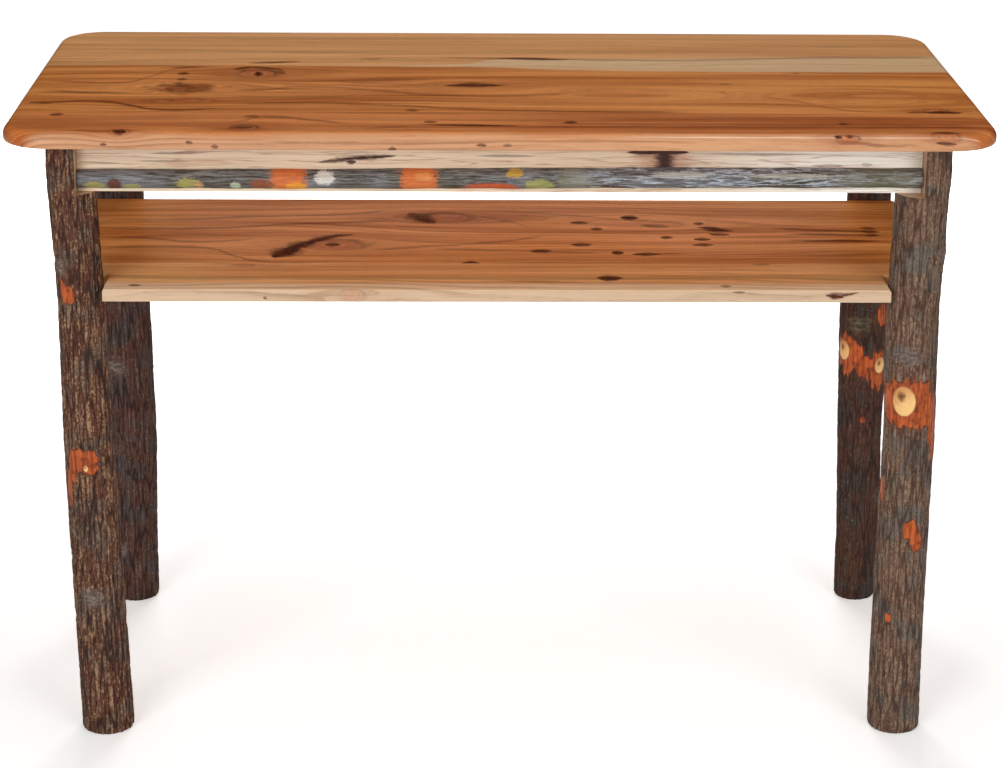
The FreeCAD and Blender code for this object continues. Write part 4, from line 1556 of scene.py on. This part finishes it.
# %% [markdown]
# ## Split saplings
# The trim is a young hickory stem split in half, its bark still smooth. Each is a dense half round
# built on the CAD trim's own stations: places along it where the height of its middle and its
# radius are read. The flat side lies on the apron.

# %% Trim shapes
SIDES = {
    "bark_trim_front": (0, Vector((0, -1, 0))), "bark_trim_rear": (0, Vector((0, 1, 0))),
    "bark_trim_left": (1, Vector((-1, 0, 0))), "bark_trim_right": (1, Vector((1, 0, 0))),
}


def trim_stations(node, axis):
    """Place, middle height and radius of each whole half round of the CAD trim."""
    points = cad_points(node)
    found = []
    for place in np.unique(points[:, axis].round(4)):
        ring = points[abs(points[:, axis] - place) < 1e-4]
        found.append((place, (ring[:, 2].min() + ring[:, 2].max()) / 2, np.ptp(ring[:, 2]) / 2))
    found = np.array(found)
    return found[found[:, 2] > 0.9 * found[:, 2].max()]

def trim_tube(node, seed):
    """A dense half round along a trim, with its flat side on the apron."""
    axis, facing = SIDES[node]
    outwards = facing[1 - axis]
    stations = trim_stations(node, axis)
    low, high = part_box(node)
    flat = max(low[1 - axis], high[1 - axis], key=lambda value: -value * outwards)
    run = np.linspace(low[axis], high[axis], int((high[axis] - low[axis]) / (1.6 * MM)))
    middle, radius = (slow(np.interp(run, stations[:, 0], stations[:, k]), 41) for k in (1, 2))
    radius = radius * (1 + 0.02 * np.sin(run * 41 + seed) + 0.015 * np.sin(run * 97 + seed))
    angle = np.linspace(-pi / 2, pi / 2, 44)
    out = np.concatenate([np.cos(angle), np.zeros(8)])
    up = np.concatenate([np.sin(angle), np.linspace(1, -1, 10)[1:-1]])
    grid = np.zeros((len(run), len(out), 3))
    grid[..., axis] = run[:, None]
    grid[..., 1 - axis] = flat + outwards * radius[:, None] * out
    grid[..., 2] = middle[:, None] + radius[:, None] * up
    outward = np.zeros_like(grid)
    outward[..., 1 - axis] = outwards * out
    outward[..., 2] = up * (out > 0.02)
    away = np.full(grid.shape[:2], FAR_AWAY)
    extras = {"outward": outward, "bare_reach": away, "scar_reach": away, "crack": away * 0,
              "sawn_place": np.full(grid.shape, FAR_AWAY)}
    if outwards * (1 - 2 * axis) < 0:
        grid = grid[:, ::-1]
        extras = {label: values[:, ::-1] for label, values in extras.items()}
    return closed_tube(grid, "split_" + node, extras)


print("stations of the front trim:", len(trim_stations("bark_trim_front", 0)))

# %% [markdown]
# Young bark is grey with fine streaks, and blotched by lichen, rust-red scabs and paler healed
# places. A blotch is an oval with a ragged border. The front trim's are listed: place along the
# trim, height, half sizes, colour and strength.

# %% Blotches
def blotch_formula(point, centre, size):
    """A ragged oval."""
    off = vector("DIVIDE", vector("SUBTRACT", point, centre), size)
    rough = noise(vector("MULTIPLY", point, (0.26, 0.26, 0.8)), 4.0, 0.7) - 0.5
    return (1.0 - step(vector("LENGTH", off) + rough * 1.5, 0.7, 1.0),)


BLOTCH = group("Ragged blotch", {"Point": VECTOR, "Centre": VECTOR, "Size": VECTOR},
               {"Mask": FLOAT}, blotch_formula)
LICHEN, RUST, SCAB, SULPHUR = (150, 150, 128), (214, 116, 58), (70, 44, 34), (168, 160, 88)
WHITE, BLUISH, OLIVE = (222, 220, 208), (150, 158, 172), (112, 108, 82)
FRONT_BLOTCHES = (
    (430, 690, 60, 30, OLIVE, 0.6), (-460, 685, 14, 6, SULPHUR, 0.75),
    (-438, 687, 9, 8, (96, 46, 30), 0.95), (-418, 684, 12, 5, SULPHUR, 0.7),
    (-354, 688, 16, 8, SULPHUR, 0.9), (-342, 686, 6, 6, (204, 152, 110), 0.7),
    (-301, 686, 7, 5, (180, 190, 164), 0.9), (-272, 688, 15, 7, (146, 76, 46), 0.9),
    (-241, 693, 23, 40, RUST, 1.0), (-232, 684, 14, 7, (232, 158, 44), 0.9),
    (-200, 695, 13, 9, WHITE, 0.95), (-93, 693, 24, 40, RUST, 1.0),
    (-88, 697, 12, 6, (230, 150, 84), 0.8), (-10, 684, 34, 7, (200, 88, 42), 0.95),
    (16, 701, 11, 5, (214, 170, 62), 0.9), (44, 687, 19, 9, (166, 166, 98), 0.85),
    (82, 693, 20, 30, LICHEN, 0.5), (127, 682, 26, 6, SCAB, 0.9), (205, 700, 40, 4, WHITE, 0.5),
    (330, 699, 60, 3, WHITE, 0.45),
)

# %% [markdown]
# The other three trims draw their blotches from the same colours. The seed is the piece's name, so
# they fall in the same places on every run.

# %% Drawn blotches
BLOTCH_EVERY = 0.055


def drawn_blotches(node):
    """Blotches drawn at random along a trim."""
    axis, facing = SIDES[node]
    low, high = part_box(node)
    pick = Random(node)
    drawn = []
    for index in range(int((high[axis] - low[axis]) / BLOTCH_EVERY)):
        tone = pick.choice((LICHEN, RUST, SCAB, SULPHUR, WHITE, BLUISH, OLIVE))
        place = pick.uniform(low[axis], high[axis]) / MM
        drawn.append((place, pick.uniform(685, 701), pick.uniform(6, 34), pick.uniform(6, 24),
                      tone, pick.uniform(0.5, 0.9)))
    return drawn


print("the rear trim has", len(drawn_blotches("bark_trim_rear")), "blotches")

# %% [markdown]
# The streaks are a noise that is stretched along the trim, with a finer one on it. The lower side
# is painted darker and browner, which is painted shade, and thin pale veins run along, more of them
# at the right. Blotches come on top, and the streaks darken them too, or they would look like
# stickers.

# %% Trim bark
WIDE = 1e6


def laid(axis, along, across, height):
    """Three numbers in the room's order, for a trim that runs along X or Y."""
    return (along, across, height) if axis == 0 else (across, along, height)


def trim_bark(node, seed):
    """Smooth young bark with blotches."""
    axis, facing = SIDES[node]
    finish = Finish("Smooth bark of " + node)
    tree, point = finish.tree, finish.point
    seeds = (seed, seed, seed)
    fine = vector("ADD", vector("MULTIPLY", point, laid(axis, 0.040, 0.62, 0.62)), seeds)
    fibre = noise(fine, 4.0, 0.65)
    thread = noise(scaled(fine, 2.6))
    broad = noise(vector("ADD", scaled(point, 0.012), seeds))
    x, y, height = split(point)
    tone = mix(step(fibre, 0.40, 0.60), colour(52, 44, 36), colour(128, 126, 118))
    # The lower side of the half round is painted darker: painted shade.
    lower = 1.0 - step(height + broad * 8.0, 692.0, 701.0)
    tone = mix(lower * 0.6, tone, colour(72, 62, 42))
    tone = mix(step(broad, 0.45, 0.62) * 0.25, tone, colour(*BLUISH))
    vein = vector("ADD", vector("MULTIPLY", point, (0.016, 0.016, 0.15)), (seed, 0.0, seed))
    vein = 1.0 - step(calc("ABSOLUTE", noise(vein, 4.0, 0.6) - 0.5), 0.0, 0.05)
    tone = mix(vein * (step(x, 40.0, 160.0) * 0.65 + 0.15), tone, colour(196, 206, 218))
    blotches = FRONT_BLOTCHES if node == "bark_trim_front" else drawn_blotches(node)
    for place, rise, half, half_height, shade, strength in blotches:
        mask = use(BLOTCH, tree, point, laid(axis, place, 0, rise),
                   laid(axis, half, WIDE, half_height))
        tone = mix(mask * strength, tone, colour(*shade))
    tone = scaled(tone, 0.42 + fibre * 0.48 + thread * 0.48)
    tone = mix(step(mask_of(finish, "cleft"), 0.4, 1.0) * 0.22, tone, colour(46, 38, 32))
    finish.set({"Base Color": tone, "Roughness": 0.5 + thread * 0.2, "Specular IOR Level": 0.35})
    finish.bump(fibre + thread * 0.4, 0.6, 0.0006)
    print(finish.material.name, "has", len(blotches), "blotches")
    return finish.material


# %% [markdown]
# The same tree as on the poles presses in a much finer relief, with its cells laid along the trim.
# The end pieces are then cut hollow where they meet the poles, as a maker would cope them.

# %% Build the trims
COPE_ROOM = 1.1 * MM


def round_cutter(node):
    """A pole as a plain tall cylinder, a little fatter, to hollow a trim's end with."""
    height, x, y, radius = pole_shapes[node][-1]
    mesh = bmesh.new()
    bmesh.ops.create_cone(mesh, cap_ends=True, segments=96, radius1=radius + COPE_ROOM,
                          radius2=radius + COPE_ROOM, depth=0.2)
    bmesh.ops.translate(mesh, vec=(x, y, height), verts=mesh.verts)
    return finished(mesh, "round_" + node)


for index, node in enumerate(SIDES):
    axis, facing = SIDES[node]
    trim = trim_tube(node, index * 2.3)
    finish = trim_bark(node, index * 5.1)
    grown(trim, BARK, Cell=laid(axis, 60 * MM, 2.6 * MM, 2.6 * MM), Depth=0.35 * MM,
          Crack_depth=0.2 * MM, Seed=index * 3.1, Finish=finish)
    if axis == 1:
        hollow(trim, [round_cutter(pole) for pole in POLES])
    coat(trim, finish)
    trim.data.set_sharp_from_angle(angle=radians(50))
    dress(trim, "trim_bark", node)
    print(node, len(trim.data.polygons), "faces")

# %% [markdown]
# ## Screws and brads
# Zinc-plated screws with cross recesses hold the cleats, aprons and shelf. A screw's thread could
# be a true spiral, but its rings look the same from outside a hole and cost far fewer faces. So one
# screw is turned from its profile, with the recess cut in, and one brad.

# %% Fastener shapes
def turned_shape(profile, name, segments=14):
    """A closed shape of revolution about Z from (radius, height) points in millimetres."""
    turns = [tau * k / segments for k in range(segments)]
    rings = [[(radius * MM * cos(turn), radius * MM * sin(turn), height * MM) for turn in turns]
             for radius, height in profile]
    return shell_of(rings, name)


def screw_profile(length, head, shank):
    """Head, cone and a ridged shank that ends in a point."""
    profile = [(0.05, length), (shank * 0.5, length - 3.0)]
    height = length - 4.0
    while height > length * 0.35:
        profile += [(shank, height), (shank * 0.74, height - 0.9)]
        height -= 2.0
    return profile + [(shank * 0.8, height), (shank * 0.8, 2.6), (head, 0.25), (head, -0.15)]


def fastener(name, length, head, shank, ridged):
    """One screw or brad with its head at the origin and its tip along +Z."""
    profile = screw_profile(length, head, shank) if ridged else [
        (0.05, length), (shank, length - 2.0), (shank, 1.0), (head, 0.3), (head, -0.1)]
    made = turned_shape(profile, name)
    if ridged:
        arm, width, deep = 2.4 * MM, 0.45 * MM, 1.3 * MM
        cut_away(made, [(Vector((-arm, -width, -1 * MM)), Vector((arm, width, deep))),
                        (Vector((-width, -arm, -1 * MM)), Vector((width, arm, deep)))])
    return made


print("a 35 mm screw's profile has", len(screw_profile(35.0, 4.45, 2.1)), "points")

# %% [markdown]
# The CAD model says where each fastener is. One node holds all of one kind, so its mesh is taken
# apart into islands of joined points. The wide end of an island is the head. They are put in order
# by place, so that each screw gets the same random turn on every run.

# %% Heads read from the CAD
def islands_of(mesh):
    """The points of each separate solid of a bmesh."""
    left, found = set(mesh.verts), []
    while left:
        stack, island = [left.pop()], []
        while stack:
            vert = stack.pop()
            island.append(vert.co[:])
            for edge in vert.link_edges:
                other = edge.other_vert(vert)
                if other in left:
                    left.remove(other)
                    stack.append(other)
        found.append(np.array(island))
    return found


def heads_of(node):
    """Where each fastener of a CAD group has its head, which way it points and its length."""
    mesh = bmesh.new()
    mesh.from_mesh(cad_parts[node].data)
    bmesh.ops.remove_doubles(mesh, verts=mesh.verts, dist=1e-6)
    found = []
    for points in islands_of(mesh):
        low, high = points.min(0), points.max(0)
        axis = int(np.argmax(high - low))
        others = [k for k in range(3) if k != axis]
        ends = [points[abs(points[:, axis] - end) < 1e-5][:, others]
                for end in (low[axis], high[axis])]
        near_size, far_size = (np.ptp(end, axis=0).max() for end in ends)
        way = 1.0 if near_size > far_size else -1.0
        head = (low + high) / 2
        head[axis] = low[axis] if way > 0 else high[axis]
        aim = np.zeros(3)
        aim[axis] = way
        found.append((head, aim, high[axis] - low[axis]))
    mesh.free()
    return sorted(found, key=lambda head: head[0].tolist())


print("top screws found in the CAD:", len(heads_of("top_screws")))

# %% [markdown]
# Geometry Nodes put a copy of the screw at each head, aimed along its hole and turned by a random
# amount, as a driver leaves them. The heads are the points of a mesh without faces, and each point
# carries the way it aims.

# %% Fastener tree
def fastener_tree():
    """Copies one fastener onto points, aimed by their attribute."""
    tree, given, end = tree_inputs("Fasteners", {
        "Geometry": ("Geometry", None), "Shape": ("Object", None), "Seed": ("Int", 0),
        "Finish": ("Material", None),
    })
    shape = wired(tree, "GeometryNodeObjectInfo", {"Object": given["Shape"]}, "Geometry")
    aimed = wired(tree, "FunctionNodeAlignRotationToVector",
                  {"Vector": attribute(tree, "aim", "FLOAT_VECTOR")}, axis="Z")
    largest, number_output = 3, 1
    turn = wired(tree, "FunctionNodeRandomValue", {largest: pi, "Seed": given["Seed"]},
                 number_output, data_type="FLOAT")
    own = wired(tree, "FunctionNodeAxisAngleToRotation", {"Axis": (0.0, 0.0, 1.0), "Angle": turn})
    spin = wired(tree, "FunctionNodeRotateRotation", {"Rotation": aimed, "Rotate By": own},
                 rotation_space="LOCAL")
    placed = wired(tree, "GeometryNodeInstanceOnPoints",
                   {"Points": given["Geometry"], "Instance": shape, "Rotation": spin})
    return end_tree(placed, given["Finish"], end)


FASTENERS = fastener_tree()


def zinc():
    """Bright zinc with the faint clouds that plating leaves."""
    finish = Finish("Zinc plate")
    cloud = noise(scaled(finish.point, 0.8))
    finish.set({"Base Color": mix(cloud, colour(190, 190, 184), colour(214, 212, 204)),
                "Roughness": 0.3 + cloud * 0.25, "Metallic": 1.0})
    return finish.material


# %% Build the fasteners
SCREW_SIZE, BRAD_SIZE = (4.45, 2.1), (1.95, 1.0)
zinc_plate = zinc()
for index, node in enumerate(("top_screws", "cleat_screws", "apron_screws", "shelf_screws",
                              "trim_brads")):
    heads = heads_of(node)
    ridged = node != "trim_brads"
    head_radius, shank = SCREW_SIZE if ridged else BRAD_SIZE
    length = heads[0][2] / MM
    shape = fastener("one_of_" + node, length, head_radius, shank, ridged)
    data = bpy.data.meshes.new("heads")
    data.from_pydata([head.tolist() for head, aim, size in heads], [], [])
    layer = data.attributes.new("aim", "FLOAT_VECTOR", "POINT")
    aims = np.array([aim for head, aim, size in heads], dtype=np.float32)
    layer.data.foreach_set("vector", aims.ravel())
    fasteners = shown("zinc_" + node, data)
    grown(fasteners, FASTENERS, Shape=shape, Seed=index, Finish=zinc_plate)
    bpy.data.objects.remove(shape)
    coat(fasteners, zinc_plate)
    dress(fasteners, "screw_steel", node)
    print(node, len(heads), "of", round(length, 1), "mm,", len(fasteners.data.polygons), "faces")

# %% [markdown]
# ## Floor, light and camera
# A plain pale floor and soft light from large lamps. The white round the floor is only what the
# camera sees. It puts no extra light on the table.

# %% Floor
def floor_material():
    """A pale floor that the camera sees a little brighter than it is lit."""
    finish = Finish("Pale floor")
    light_path = add(finish.tree, "ShaderNodeLightPath")
    seen = Wire(finish.tree, light_path.outputs["Is Camera Ray"])
    away = step(vector("LENGTH", finish.point), 900.0, 2600.0)
    finish.set({"Base Color": (0.86, 0.86, 0.86, 1.0), "Roughness": 0.8,
                "Specular IOR Level": 0.1, "Emission Color": (1.0, 1.0, 1.0, 1.0),
                "Emission Strength": seen * (away * 0.5 + 0.3)})
    return finish.material


FLOOR_RADIUS = 14.0
floor_mesh = bmesh.new()
bmesh.ops.create_circle(floor_mesh, cap_ends=True, segments=96, radius=FLOOR_RADIUS)
floor = finished(floor_mesh, "floor")
coat(floor, floor_material())
print("the floor is a disc of", 2 * FLOOR_RADIUS, "m")

# %% [markdown]
# The world is white to the camera and dim to everything else, so the background is white while the
# lamps alone shape the table. Shiny lacquer sees a world that is dimmer still, or it would look
# milky. Four large square lamps stand round: a key light, a fill, one overhead and one behind.

# %% World and lamps
world = bpy.data.worlds.new("Studio")
bpy.context.scene.world = world
world.use_nodes = True
air = world.node_tree
sky = air.nodes["Background"]
light_path = add(air, "ShaderNodeLightPath")
sky.inputs["Color"].default_value = (1.0, 1.0, 1.0, 1.0)
seen, mirrored = (Wire(air, light_path.outputs[f"Is {kind} Ray"]) for kind in ("Camera", "Glossy"))
feed(air, sky.inputs["Strength"], seen * 0.75 + 0.25 - mirrored * 0.23)


def lamp(name, place, aim, size, power):
    """A large soft square lamp."""
    light = bpy.data.lights.new(name, "AREA")
    light.shape, light.size, light.energy = "SQUARE", size, power
    made = shown(name, light)
    made.location = place
    made.rotation_euler = (Vector(aim) - Vector(place)).to_track_quat("-Z", "Y").to_euler()
    print("lamp", name, power, "W")
    return made


lamp("key", (-1.9, -3.5, 1.75), (0, 0, 0.55), 1.8, 75)
lamp("fill", (2.1, -3.1, 1.55), (0, 0, 0.5), 1.8, 44)
lamp("overhead", (0.2, -0.4, 3.4), (0, 0, 0.7), 2.6, 24)
lamp("behind", (0.0, 3.0, 0.95), (0, 0, 0.55), 2.0, 125).visible_glossy = False

# %% [markdown]
# The camera looks from where the photograph was taken: its place, its turn and its lens come from
# fitting the outlines of the top, the shelf and the poles. From its three angles come the way
# ahead, the way across the picture and the way down it, and those three make its turn.

# %% Camera
CAMERA_PLACE, LENS = (-0.05796, -3.08705, 1.45412), 93.56
YAW, PITCH, ROLL = 0.0212495, 0.3370071, -0.0079876
ahead = Vector((sin(YAW) * cos(PITCH), cos(YAW) * cos(PITCH), -sin(PITCH)))
level = Vector((cos(YAW), -sin(YAW), 0.0))
down = ahead.cross(level)
across = level * cos(ROLL) + down * sin(ROLL)
lower = down * cos(ROLL) - level * sin(ROLL)
lens = bpy.data.cameras.new("camera")
lens.sensor_width, lens.lens = 36.0, LENS
lens.clip_start, lens.clip_end = 0.1, 60.0
camera = shown("camera", lens)
turn = Matrix((across, -lower, -ahead)).transposed()
camera.matrix_world = Matrix.Translation(CAMERA_PLACE) @ turn.to_4x4()
bpy.context.scene.camera = camera
bpy.context.scene.view_settings.view_transform = "Standard"
print("the camera looks down by", round(PITCH * 180 / pi, 1), "degrees")

# %% [markdown]
# ## Last update
# Last, the view layer is brought up to date.

# %% Update the view layer
bpy.context.view_layer.update()
